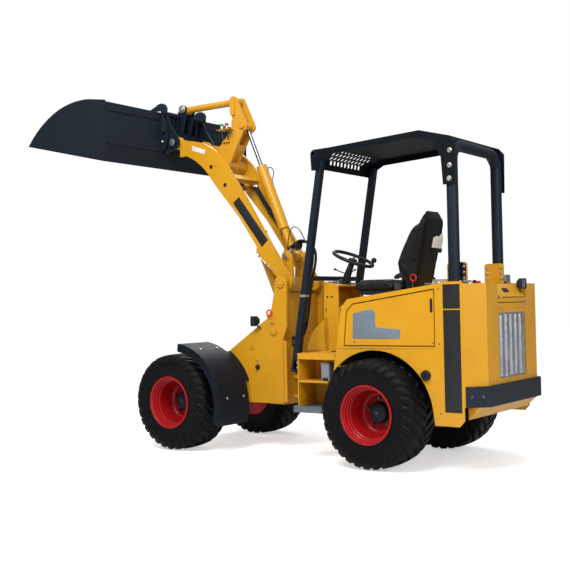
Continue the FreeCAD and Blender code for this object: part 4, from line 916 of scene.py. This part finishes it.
lathe("tower_lamp", (117, -56, 1686), (0.25, 1, 0.02),
      [(0, 30), (6, 34), (16, 37), (28, 39), (34, 39), (36, 37), (34, 33), (30, 30), (29, 0)], "plastic", FRONT, 40)
lathe("tower_lamp_lens", (124.5, -27, 1686.6), (0.25, 1, 0.02), [(0, 30.5), (3, 29), (6, 20), (7, 0)], "plastic",
      FRONT, 40)
smooth_line("tower_lamp_arm", [(98, -160, 1646), (100, -150, 1672), (108, -110, 1690), (117, -60, 1686)], 7,
            "dark_metal", FRONT)


def hose_end(name, place, way, body, radius):
    """Pressed ferrule, hexagon nut and stub at a hose's end."""
    w = Vector(way).normalized()
    lathe(name + "_ferrule", place - w * 26, w, [(0, radius * 1.1), (1, radius * 1.35), (20, radius * 1.35),
                                                 (22, radius * 0.9), (26, radius * 0.9)], "zinc", body, 20)
    lathe(name + "_nut", place - w * 4, w, [(0, radius * 1.5), (12, radius * 1.5), (13, radius * 1.1),
                                            (16, radius), (16, 0)], "zinc", body, 6)


def hose(name, points, radius, body):
    smooth_line(name, points, radius, "hose", body, resolution=8)
    start, end = Vector(points[0]), Vector(points[-1])
    hose_end(name + "_a", start, start - Vector(points[1]), body, radius)
    hose_end(name + "_b", end, end - Vector(points[-2]), body, radius)


for k, (x, out, low) in enumerate(((150, 0, 0), (124, 12, 14), (98, -10, 26))):
    hose("tower_hose_%d" % k, [
        (x * 0.72, -122, 1640 + low * 0.3), (x * 0.75, -108, 1674), (x * 0.8, -68, 1706 - low * 0.2),
        (x * 0.88, -14, 1723 - low * 0.4), (x * 0.95, 42 + out * 0.4, 1720 - low * 0.4),
        (x, 92 + out * 0.8, 1694 - low * 0.3), (x, 123 + out, 1648), (x, 136 + out, 1592), (x, 130 + out, 1530),
        (x, 113 + out, 1464), (x, 91 + out, 1388), (x, 72 + out, 1300), (x * 0.96, 58 + out, 1196),
        (x * 0.9, 38 + out * 0.8, 1090), (x * 0.85, 6 + out * 0.4, 990), (x * 0.81, -42, 912),
        (x * 0.78, -100, 880)], 10, FRONT)
smooth_line("tower_cable", [(112, -152, 1650), (108, -146, 1730), (104, -134, 1800), (100, -104, 1845),
                            (96, -58, 1838), (93, -22, 1796), (91, 0, 1748), (91, 28, 1704), (93, 60, 1662),
                            (96, 84, 1618), (98, 96, 1580)], 4, "hose", FRONT, resolution=8)
blocks("tower_hose_clamp", [((80, 56, 1296), (164, 92, 1308)), ((80, 56, 1288), (164, 92, 1294))], "dark_metal",
       FRONT, 1.5)
bolts("tower_hose_clamp_bolts", [(x, 74, 1308) for x in (111, 137)], UP, "zinc", FRONT, 6, 6)
smooth_line("tower_hose_bracket", [(122, -108, 1300), (122, -40, 1300), (122, 60, 1301)], 5, "dark_metal", FRONT)
plate("hose_manifold", [oblong(56, 140, 850, 930, 5)], -125, -98, "dark_metal", FRONT, plane="xz")

# ------------------------------------------------------------------ boom
both(plate, "boom_strip_%s", [rounded([(-660, 2078), (-592, 2125), (-285, 1739), (-350, 1683)], 4)], ARM_X, ARM_X + 1,
     "strip", BOOM, bevel=0.3)
both(plate, "boom_blank_%s", [rounded([(-1123, 2624), (-967, 2570), (-980, 2534), (-1124, 2582)], 3)], ARM_X,
     ARM_X + 0.8, "blank", BOOM, bevel=0.2)
# Shallow black dishes paint the shade inside the holes in the arms.
for k, (y, z) in enumerate(((-904, 2414), (-747, 2241))):
    both(lathe, "arm_hole_%%s_%d" % k, (204.9, y, z), OUT,
         [(0, 18), (0.7, 18), (1.0, 16.5), (0.6, 15), (0.2, 14.4), (0.2, 0)], "plastic", BOOM, 32)
both(lathe, "tip_boss_%s", (ARM_X + 8, *TIP_PIN), OUT, [(0, 58), (1.2, 57), (1.4, 50), (1.4, 30), (0, 30)],
     "yellow", BOOM)
pipe = [(209, y, z) for y, z in ((-404, 1640), (-396, 1622), (-352, 1578), (-300, 1528), (-262, 1500), (-238, 1488))]
both(smooth_line, "arm_pipe_%s", pipe, 4, "zinc", BOOM)
both(bolts, "arm_pipe_nuts_%s", [(ARM_X, -404, 1640), (ARM_X, -238, 1488)], OUT, "zinc", BOOM, 6.5, 8)
for k, (y, z) in enumerate(((-380, 1606), (-300, 1528))):
    both(blocks, "arm_pipe_clip_%%s_%d" % k, [((204.8, y - 8, z - 8), (214, y + 8, z + 8))], "dark_metal", BOOM, 2)
route = ((-705, 2266), (-672, 2218), (-560, 2050), (-440, 1900), (-330, 1740), (-262, 1636), (-212, 1570),
         (-196, 1530))
for k, x in enumerate((134, 158)):
    both(hose, "arm_hose_%%s_%d" % k, [(x, y + 10 * k, z) for y, z in route], 11, BOOM)
for k, (y, z) in enumerate(((-520, 2004), (-380, 1812))):
    both(blocks, "arm_hose_clamp_%%s_%d" % k, [((118, y - 14, z - 14), (175.2, y + 22, z + 14))], "dark_metal",
         BOOM, 3)
both(blocks, "arm_hose_block_%s", [((118, -232, 1488), (175.2, -166, 1534))], "dark_metal", BOOM, 3)

# ------------------------------------------------------------------ linkage caps
both(pin_cap, "link_cap_%s", (62.2, *LINK_PIN), OUT, 36, "zinc", TOOL, 17)
lathe("tilt_rod_eye", (-30.6, *CRANK_PIN), OUT,
      [(0, 22), (0, 34.2), (1, 35.2), (60.2, 35.2), (61.2, 34.2), (61.2, 22)], "orange", "tilt_cylinder_rod", 40)
both(pin_cap, "crank_rod_cap_%s", (78.1, *CRANK_PIN), OUT, 26, "orange", CRANK, 5)
both(lathe, "coupler_ring_%s", (264, *TIP_PIN), OUT, [(0, 43), (5, 43), (7, 41), (7, 33), (0, 33)], "steel", TOOL)
both(lathe, "coupler_cap_%s", (268, *TIP_PIN), OUT, [(0, 31), (2, 31), (5, 29), (7, 22), (7, 6), (9, 5), (9, 0)],
     "zinc", TOOL, 40)

# ------------------------------------------------------------------ coupler and bucket
hook = flat([(-1600, 2984), (-1500, 3022), ("arc", (-1432, 3038), (-1384, 3018)), (-1368, 2990), (-1372, 2952),
             ("arc", (-1388, 2926), (-1416, 2934)), (-1441, 2950), (-1441, 2968)])
both(plate, "bucket_hook_%s", [hook], 252.5, 268, "bucket", TOOL, bevel=2)
ear = rounded([(-1441, 2600), (-1392, 2610), (-1350, 2700), (-1368, 2830), (-1400, 2925), (-1441, 2935)], 16)
both(plate, "bucket_ear_%s", [ear], 270, 282, "bucket", TOOL, bevel=2)
both(bolts, "coupler_bolt_%s", [(282, -1416, 2685)], OUT, "zinc", TOOL, 12, 9)
both(lathe, "coupler_knob_%s", (282, -1381, 2781), OUT,
     [(0, 12), (8, 12), (10, 9), (12, 14), (20, 19), (30, 20), (38, 15), (41, 0)], "plastic", TOOL, 24)
web = rounded([(-1441, 2800), (-1405, 2800), (-1392, 2900), (-1412, 2940), (-1441, 2946)], 8)
for k, x in enumerate((90, 180)):
    both(plate, "coupler_web_%%s_%d" % k, [web], x - 5, x + 5, "steel", TOOL)
cutter = rounded([(-2452, 2674), (-2290, 2822), (-2262, 2800), (-2400, 2664)], 6)
both(plate, "side_cutter_%s", [cutter], 934.5, 944.6, "bucket", TOOL, bevel=1)
rib = rounded([(-1462, 2592), (-1441.5, 2592), (-1441.5, 2958), (-1462, 2958)], 4)
both(plate, "cheek_rib_%s", [rib], 936, 944.5, "bucket", TOOL, bevel=1)
for part, y, low, high in (("stiffener", -1432, 2880, 2940), ("rail", -1434, 2596, 2626)):
    blocks("back_" + part, [((x, -1441, low), (x + 640, y, high)) for x in (-930, 290)], "bucket", TOOL, 2.5)


# ------------------------------------------------------------------ steps, deck and console
def serrated(name, x0, x1, y0, y1, z):
    """Open grating step: side bars, toothed cross bars."""
    bm = bmesh.new()
    low, high = min(x0, x1), max(x0, x1)
    for lo, hi in (((low, y0), (high, y0 + 3)), ((low, y1 - 3), (high, y1)), ((low, y0), (low + 3, y1)),
                   ((high - 3, y0), (high, y1))):
        add_block(bm, (*lo, z - 34), (*hi, z))
    for k in range(1, 9):
        x = low + (high - low) * k / 9
        add_block(bm, (x - 1.2, y0 + 3, z - 26), (x + 1.2, y1 - 3, z - 4))
        for j in range(14):
            y = y0 + 12 + (y1 - y0 - 24) * j / 13
            add_block(bm, (x - 1.2, y - 4, z - 6), (x + 1.2, y + 4, z))
    for j in range(1, 8):
        y = y0 + (y1 - y0) * j / 8
        add_block(bm, (low + 2, y - 1.5, z - 24), (high - 2, y + 1.5, z - 18))
    from_bm(name, bm, "step", REAR)


blocks("deck_mat", [((-330, 412, 820.1), (330, 606, 824))]
       + [((x - 6, 418, 823.8), (x + 6, 600, 826.4)) for x in [-318 + 636 * k / 23 for k in range(24)]],
       "grip", REAR, 0.8)
for label, side in SIDES:
    serrated("step_grate_" + label, side * 336, side * 563, 226, 478, 420)
teeth = [(220 + k * 16.5 + dy, z) for k in range(16) for dy, z in ((0, 414), (4, 421), (10, 421), (14, 414))]
both(plate, "step_edge_%s", [[(220, 366)] + teeth + [(480, 366)]], 563.2, 567.6, "step", REAR, bevel=0.4)
both(blocks, "tool_box_%s", [((402, 464, 613), (538, 538, 742))], "box", REAR, 3)
both(blocks, "tool_box_lid_%s", [((400, 461, 736), (541, 540, 748))], "box", REAR, 2)
both(blocks, "tool_box_catch_%s", [((537.5, 482, 616), (544, 526, 636))], "plastic", REAR, 1.5)
brace = rounded([(86, 820.2), (100, 885), (150, 985), (238, 1050), (262, 1090), (300, 1090), (300, 820.2)],
                [3, 60, 80, 40, 6, 3, 3])
both(plate, "console_gusset_%s", [brace], 184, 190, "yellow", REAR)
both(blocks, "console_gusset_foot_%s", [((116, 92, 820.1), (184, 256, 825))], "yellow", REAR, 1.5)
both(bolts, "deck_bolts_%s", [(x, y, 820) for x in (370, 540) for y in (285, 590)], UP, "zinc", REAR, 7, 5)
for k, y in enumerate((298, 340)):
    both(lathe, "console_plug_%%s_%d" % k, (190, y, 1250), OUT, [(0, 9), (1.5, 9), (2, 6), (2, 0)], "plastic",
         REAR, 20)
# Black oblong on the gusset paints the shade inside the console's slot.
both(plate, "console_slot_%s", [oblong(278, 288, 1136, 1160, 4)], 189.9, 190.8, "strip", REAR, bevel=0.2)


def pedal(name, x):
    plate("pedal_" + name, [oblong(-28, 28, -44, 44, 10)], 0, 7, "grip", REAR, plane="xy", bevel=1.5,
          place=turned((x, 438, 872), OUT, (0, -0.75, 0.66)))
    smooth_line("pedal_arm_" + name, [(x, 408, 930), (x, 424, 905), (x, 440, 868)], 6, "dark_metal", REAR)


for label, side in SIDES:
    for k, x in enumerate((70, 150)):
        pedal("%s_%d" % (label, k), side * x)
panel = turned((0, 326, 1361.5), OUT, (0, 136, -27))
plate("dash_panel", [oblong(-150, 150, -52, 40, 8)], -1, 4, "plastic", REAR, plane="xy", place=panel)
for k, x in enumerate((-118, -84, 84, 118)):
    base = panel @ at(x, -12, 4)
    lathe("dash_switch_%d" % k, (base.x * 1000, (base.y - PIVOT_Y) * 1000, (base.z - LIFT_Z) * 1000),
          panel.to_3x3() @ Vector(UP), [(0, 11), (2, 11), (3, 8), (12, 7), (13, 5), (13, 0)],
          "redcap" if k == 3 else "dark_metal", REAR, 20)


# ------------------------------------------------------------------ seat
CLOTH = {"use_pressure": True, "uniform_pressure_force": 4.0, "quality": 4, "tension_stiffness": 30,
         "compression_stiffness": 12, "shear_stiffness": 8, "bending_stiffness": 1.5}
CLOTH_FRAMES = 20


def soften(name, node, bm, cap):
    """Stuffed cover over a shaped block: fine even mesh, blown up a little with cloth pressure, seams left in."""
    mesh = bpy.data.meshes.new(name)
    bmesh.ops.recalc_face_normals(bm, faces=bm.faces)
    bm.to_mesh(mesh)
    bm.free()
    piece = link(name, mesh)
    bpy.context.view_layer.objects.active = piece
    remesh = piece.modifiers.new("grid", "REMESH")
    remesh.mode = "VOXEL"
    remesh.voxel_size = 0.006
    remesh.use_smooth_shade = True
    bpy.ops.object.modifier_apply(modifier="grid")
    start = [v.co.copy() for v in piece.data.vertices]
    cloth = piece.modifiers.new("cloth", "CLOTH")
    for key, value in CLOTH.items():
        setattr(cloth.settings, key, value)
    cloth.settings.effector_weights.gravity = 0
    cloth.point_cache.frame_start, cloth.point_cache.frame_end = 1, CLOTH_FRAMES
    for frame_no in range(1, CLOTH_FRAMES + 1):
        bpy.context.scene.frame_set(frame_no)
    bpy.ops.object.modifier_apply(modifier="cloth")
    bpy.context.scene.frame_set(1)
    for v, old in zip(piece.data.vertices, start):
        move = v.co - old
        if move.length > cap / 1000:
            v.co = old + move.normalized() * cap / 1000
    low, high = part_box(node)
    for v in piece.data.vertices:
        for k in range(3):
            v.co[k] = min(max(v.co[k], low[k] + 0.0005), high[k] - 0.0005)
    relax = piece.modifiers.new("relax", "SMOOTH")
    relax.factor, relax.iterations = 0.5, 3
    bpy.ops.object.modifier_apply(modifier="relax")
    for polygon in piece.data.polygons:
        polygon.use_smooth = True
    finish_piece(piece, "vinyl", REAR)
    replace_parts(piece, node)
    return piece


def loft(rows):
    """Closed body from rings of machine points, in order."""
    bm = bmesh.new()
    rings = [[bm.verts.new(at(*p)) for p in row] for row in rows]
    for a, b in zip(rings, rings[1:]):
        for i in range(len(a)):
            j = (i + 1) % len(a)
            bm.faces.new((a[i], a[j], b[j], b[i]))
    bm.faces.new(rings[0][::-1])
    bm.faces.new(rings[-1])
    return bm


def between(table, value):
    """Value read off a table of (place, value) by straight lines."""
    for (a, p), (b, q) in zip(table, table[1:]):
        if value <= b:
            t = (value - a) / (b - a)
            return p + (q - p) * max(0.0, t)
    return table[-1][1]


BACK_FRONT = [(1290, 962), (1380, 944), (1500, 925), (1840, 1098), (1912, 1128)]
BACK_REAR = [(1290, 1062), (1500, 1108), (1700, 1150), (1840, 1178), (1912, 1158)]
BACK_HALF = [(1292, 168), (1400, 202), (1520, 215), (1770, 215), (1815, 202), (1852, 178), (1882, 144), (1908, 92)]
BACK_INNER = [(1292, 150), (1400, 200), (1520, 213), (1640, 206), (1700, 192), (1760, 172), (1782, 150),
              (1802, 98), (1908, 52)]


def back_point(z, t):
    """Point on the backrest's outline at a height; t turns once round, 0 at the left side."""
    front, rear = between(BACK_FRONT, z) + 8, between(BACK_REAR, z) - 6
    if z > 1740:
        front += 22 * min(1.0, (z - 1740) / 60)
    c, d = math.cos(t), math.sin(t)
    k = math.copysign(abs(d) ** 0.6, d)
    share = min(1.0, max(0.0, 0.5 + 0.75 * k))
    half = between(BACK_INNER, z) * (1 - share) + between(BACK_HALF, z) * share
    x = half * math.copysign(abs(c) ** 0.55, c)
    y = (front + rear) / 2 + (rear - front) / 2 * k
    if d < 0 and z < 1740:
        y += 24 * math.exp(-(x / 105.0) ** 4) * min(1.0, (z - 1292) / 90) * (-d)
        for groove in (1440, 1560, 1660):
            y += 6 * math.exp(-((z - groove) / 9.0) ** 2) * math.exp(-(x / 110.0) ** 4)
    if d > 0 and 1330 < z < 1730:
        y -= 5 * math.exp(-((abs(x) - 118) / 9.0) ** 2)
    if d < 0 and 1740 < z < 1820:
        y += 8 * math.exp(-((z - 1778) / 14.0) ** 2)
    if d > 0 and 1820 < z < 1890:
        y -= 5 * math.exp(-((z - 1856) / 8.0) ** 2)
    return (x, y, z)


BACK_COVER = soften("seat_back_cover", "seat_back",
                    loft([[back_point(1292 + 616 * k / 84, t) for t in turns(96)] for k in range(85)]), 12)


def rear_face(x, z):
    """How far back the finished backrest reaches near a point of its rear face."""
    near = [v.co.y for v in BACK_COVER.data.vertices
            if abs(v.co.x - x / 1000) < 0.012 and abs(v.co.z - LIFT_Z - z / 1000) < 0.012]
    return (max(near) - PIVOT_Y) * 1000


def cushion_point(y, t):
    """Point on the cushion's cross outline at a distance back; t turns once round."""
    half = 226 - 22 * max(0.0, (600 - y) / 40) ** 2
    top = between([(566, 1338), (585, 1362), (620, 1368), (880, 1364), (905, 1352), (922, 1330)], y)
    low = between([(566, 1312), (600, 1296), (900, 1296), (922, 1304)], y)
    c, d = math.cos(t), math.sin(t)
    x = half * math.copysign(abs(c) ** 0.35, c)
    z = (top + low) / 2 + (top - low) / 2 * math.copysign(abs(d) ** 0.5, d)
    if d > 0:
        z -= 14 * math.exp(-(x / 120.0) ** 6)
        z -= 5 * math.exp(-((abs(x) - 140) / 8.0) ** 2)
        for groove in (680, 770, 860):
            z -= 5 * math.exp(-((y - groove) / 8.0) ** 2) * math.exp(-(x / 130.0) ** 6)
    return (x, y, z)


soften("seat_cushion_cover", "seat_cushion",
       loft([[cushion_point(566 + 356 * i / 60, t) for t in turns(96)] for i in range(61)]), 22)
for label, side in SIDES:
    seam = [(side * 118, rear_face(side * 118, z) + 0.4, z) for z in range(1340, 1830, 28)]
    smooth_line("seat_piping_" + label, seam, 2.6, "grip", REAR)
both(blocks, "seat_rail_%s", [((138, 640, 1258), (168, 1010, 1268))], "dark_metal", REAR, 2)
both(blocks, "seat_hinge_%s", [((196, 925, 1292), (206, 985, 1352))], "dark_metal", REAR, 3)
both(smooth_line, "belt_stalk_%s", [(232, 1062, 1300), (233, 1056, 1345), (233, 1038, 1382), (233, 1008, 1398)], 9,
     "grip", REAR)
for label, side in SIDES:
    tilt = turned((side * 233, 992, 1400), (0, 0.94, 0.34), (0, -0.34, 0.94))
    plate("belt_buckle_" + label, [oblong(-34, 30, -17, 17, 7)], -12, 12, "plastic", REAR, plane="xy",
          bevel=3, place=tilt)
    plate("belt_tongue_" + label, [oblong(-50, -30, -11, 11, 4)], -3, 3, "strip", REAR, plane="xy",
          bevel=0.8, place=tilt)
blocks("belt_button", [((224, 957, 1389), (242, 963, 1399))], "redcap", REAR, 1.2)
low, high = rear_face(-95, 1600), rear_face(-95, 1710)
paper = turned((-95, max((low + high) / 2, rear_face(-95, 1655)) + 1.2, 1655), IN, (0.0, (high - low) / 110, 1))
sheet = [(-88, -62), (72, -66), (76, 40), (62, 44), (58, 66), (16, 64), (10, 46), (-34, 50), (-84, 34)]
plate("paper_pouch", [rounded(sheet, 4)], 0, 1.4, "blank", REAR, plane="xy", bevel=0.4, place=paper)
plate("pouch_pocket", [rounded([(-98, -78), (80, -80), (82, -46), (-100, -42)], 8)], 1.6, 3.4, "vinyl", REAR,
      plane="xy", bevel=0.6, place=paper)

# ------------------------------------------------------------------ levers and small controls
smooth_line("isolator_ring", [(300 + 3 * math.sin(t), 1146 + 24 * math.cos(t), 1378 + 24 * math.sin(t))
                              for t in turns(16)], 6, "redcap", REAR, cyclic=True, resolution=5, sides=4)
smooth_line("isolator_stem", [(300, 1140, 1276), (300, 1140, 1320), (300, 1143, 1354)], 5, "dark_metal", REAR)
lathe("isolator_base", (300, 1140, 1274), UP, [(0, 24), (6, 24), (10, 18), (22, 14), (26, 8), (26, 0)],
      "plastic", REAR, 32)
boot = [(0, 40), (6, 42), (12, 36), (18, 38), (25, 30), (32, 32), (40, 23), (48, 24), (58, 14), (62, 9), (62, 0)]
lathe("joystick_boot", (-300, 800, 1229), (0, -0.12, 1), boot, "grip", REAR, 40)
smooth_line("joystick_rod", [(-300, 796, 1280), (-300, 794, 1290), (-300, 792, 1302)], 6, "dark_metal", REAR)
lathe("joystick_grip", (-300, 792, 1294), (0, -0.15, 1),
      [(0, 13), (5, 16), (20, 18), (38, 16), (52, 18), (62, 21), (70, 20), (76, 13), (78, 0)], "plastic", REAR, 32)
lathe("wheel_hub_cap", (0, 430, 1553), (0, math.sin(math.radians(24)), math.cos(math.radians(24))),
      [(-12, 34), (-4, 35), (0, 33), (3, 26), (4, 0)], "grip", "steering_wheel", 40)
for k, x in enumerate((-52, 52)):
    stalk = [(x * 0.5, 372, 1437), (x * 1.5, 356, 1450), (x * 2.6, 348, 1468)]
    smooth_line("column_stalk_%d" % k, stalk, 4.5, "dark_metal", REAR)
    lathe("column_stalk_knob_%d" % k, stalk[-1], (x, -6, 14), [(-6, 5), (0, 8), (16, 9), (22, 6), (23, 0)], "plastic",
          REAR, 20)

# ------------------------------------------------------------------ attachment line couplings on the crank side
blocks("coupling_bracket", [((64.2, -806, 2688), (69, -748, 2746)), ((64.2, -892, 2741), (148, -752, 2746))],
       "orange", CRANK, 1.5)
bolts("coupling_bracket_bolts", [(69, y, 2712) for y in (-792, -762)], OUT, "zinc", CRANK, 8, 6)
for k, (y, mat) in enumerate(((-798, "redcap"), (-856, "green"))):
    lathe("coupling_body_%d" % k, (108, y, 2746), UP,
          [(0, 13), (10, 13), (11, 16), (24, 16), (25, 13), (34, 13), (34, 0)], "zinc", CRANK, 24)
    lathe("coupling_cap_%d" % k, (108, y, 2780), UP, [(0, 17), (14, 17), (17, 14), (22, 7), (22, 0)], mat, CRANK, 24)
    smooth_line("coupling_line_%d" % k, [(108, y, 2744), (107, y - 1, 2722), (97, y - 4, 2695), (83, y - 7, 2672),
                                         (75, y - 9, 2648)], 5, "dark_metal", CRANK)
blocks("coupling_clamp", [((64.2, -877, 2638), (81, -796, 2660))], "orange", CRANK, 2)
smooth_line("coupling_tether", [(108, -870, 2795), (108, -896, 2802), (108, -918, 2794), (108, -924, 2772),
                                (108, -914, 2752), (108, -892, 2745)], 1.9, "hose", CRANK)


# ------------------------------------------------------------------ cylinder dressings
def along(ends, distance, off=0.0):
    """(y, z) point on the way between two ends, moved to the machine's rear by off."""
    base, top = Vector(ends[0]), Vector(ends[1])
    way = (top - base).normalized()
    p = base + way * distance + Vector((way.y, -way.x)) * off
    return p.x, p.y


def dress(kind, ends, head, radius, length, ports, seat, line, thick, mat):
    """Head collar, pipe and its two ports on a cylinder's barrel."""
    body = kind + "_cylinder_barrel"
    way = [top - base for base, top in zip(*ends)]
    profile = [(0, radius - 3), (0, radius + 3), (2, radius + 5), (length - 6, radius + 5), (length - 4, radius + 3),
               (length, radius + 3), (length, radius - 3)]
    lathe(kind + "_head", (0, *along(ends, head)), (0, *way), profile, "yellow", body)
    smooth_line(kind + "_line", [(0, *along(ends, d, off)) for d, off in line], thick, mat, body)
    out = Vector(along(ends, 0, 60)) - Vector(along(ends, 0))
    for k, d in enumerate(ports):
        lathe("%s_port_%d" % (kind, k), (0, *along(ends, d, seat)), (0, *out),
              [(0, 13), (12, 13), (13, 9), (18, 9), (18, 0)], "zinc", body, 6)


dress("tilt", (TILT_PIN, CRANK_PIN), 836, 42, 31, (690, 816), 38,
      ((816, 44), (824, 62), (812, 88), (786, 103), (755, 99), (722, 74), (700, 54), (690, 38)), 4, "dark_metal")
dress("lift", (LIFT_PIN, (-751, 2237)), 652, 46.5, 36, (90, 640), 44,
      ((90, 42), (90, 62), (130, 64), (365, 63), (604, 64), (640, 62), (640, 44)), 5, "yellow")

# ------------------------------------------------------------------ finishes of the carried-over pieces
repaint("yellow", "body_panels", "hood_top", "rear_cover", "door_left", "door_right", "rops_brackets",
        "front_frame", "boom_arms", "lift_cylinder_barrel", "tilt_cylinder_barrel", "platform", "dash_console",
        "rear_lid", "rear_chassis")
repaint("orange", "bell_crank", "link_rod", "link_pin", "crank_pin")
repaint("steel", "rear_bumper", "rops_hoop", "canopy_posts", "quick_coupler", "steering_cylinder_barrel", "seat_base")
# The canopy roof takes the darker blue-grey that paints the shade on its underside.
repaint("roof", "canopy_roof")
repaint("fender", "front_fenders")
repaint("bucket", "bucket")
repaint("black", "rear_axle", "front_axle", "engine_block")
repaint("chrome", "lift_cylinder_rod", "tilt_cylinder_rod", "steering_cylinder_rod")
repaint("zinc", "coupler_pin", "boom_pins", "tilt_base_pin", "radiator_grille")
repaint("plastic", "steering_column", "steering_wheel")
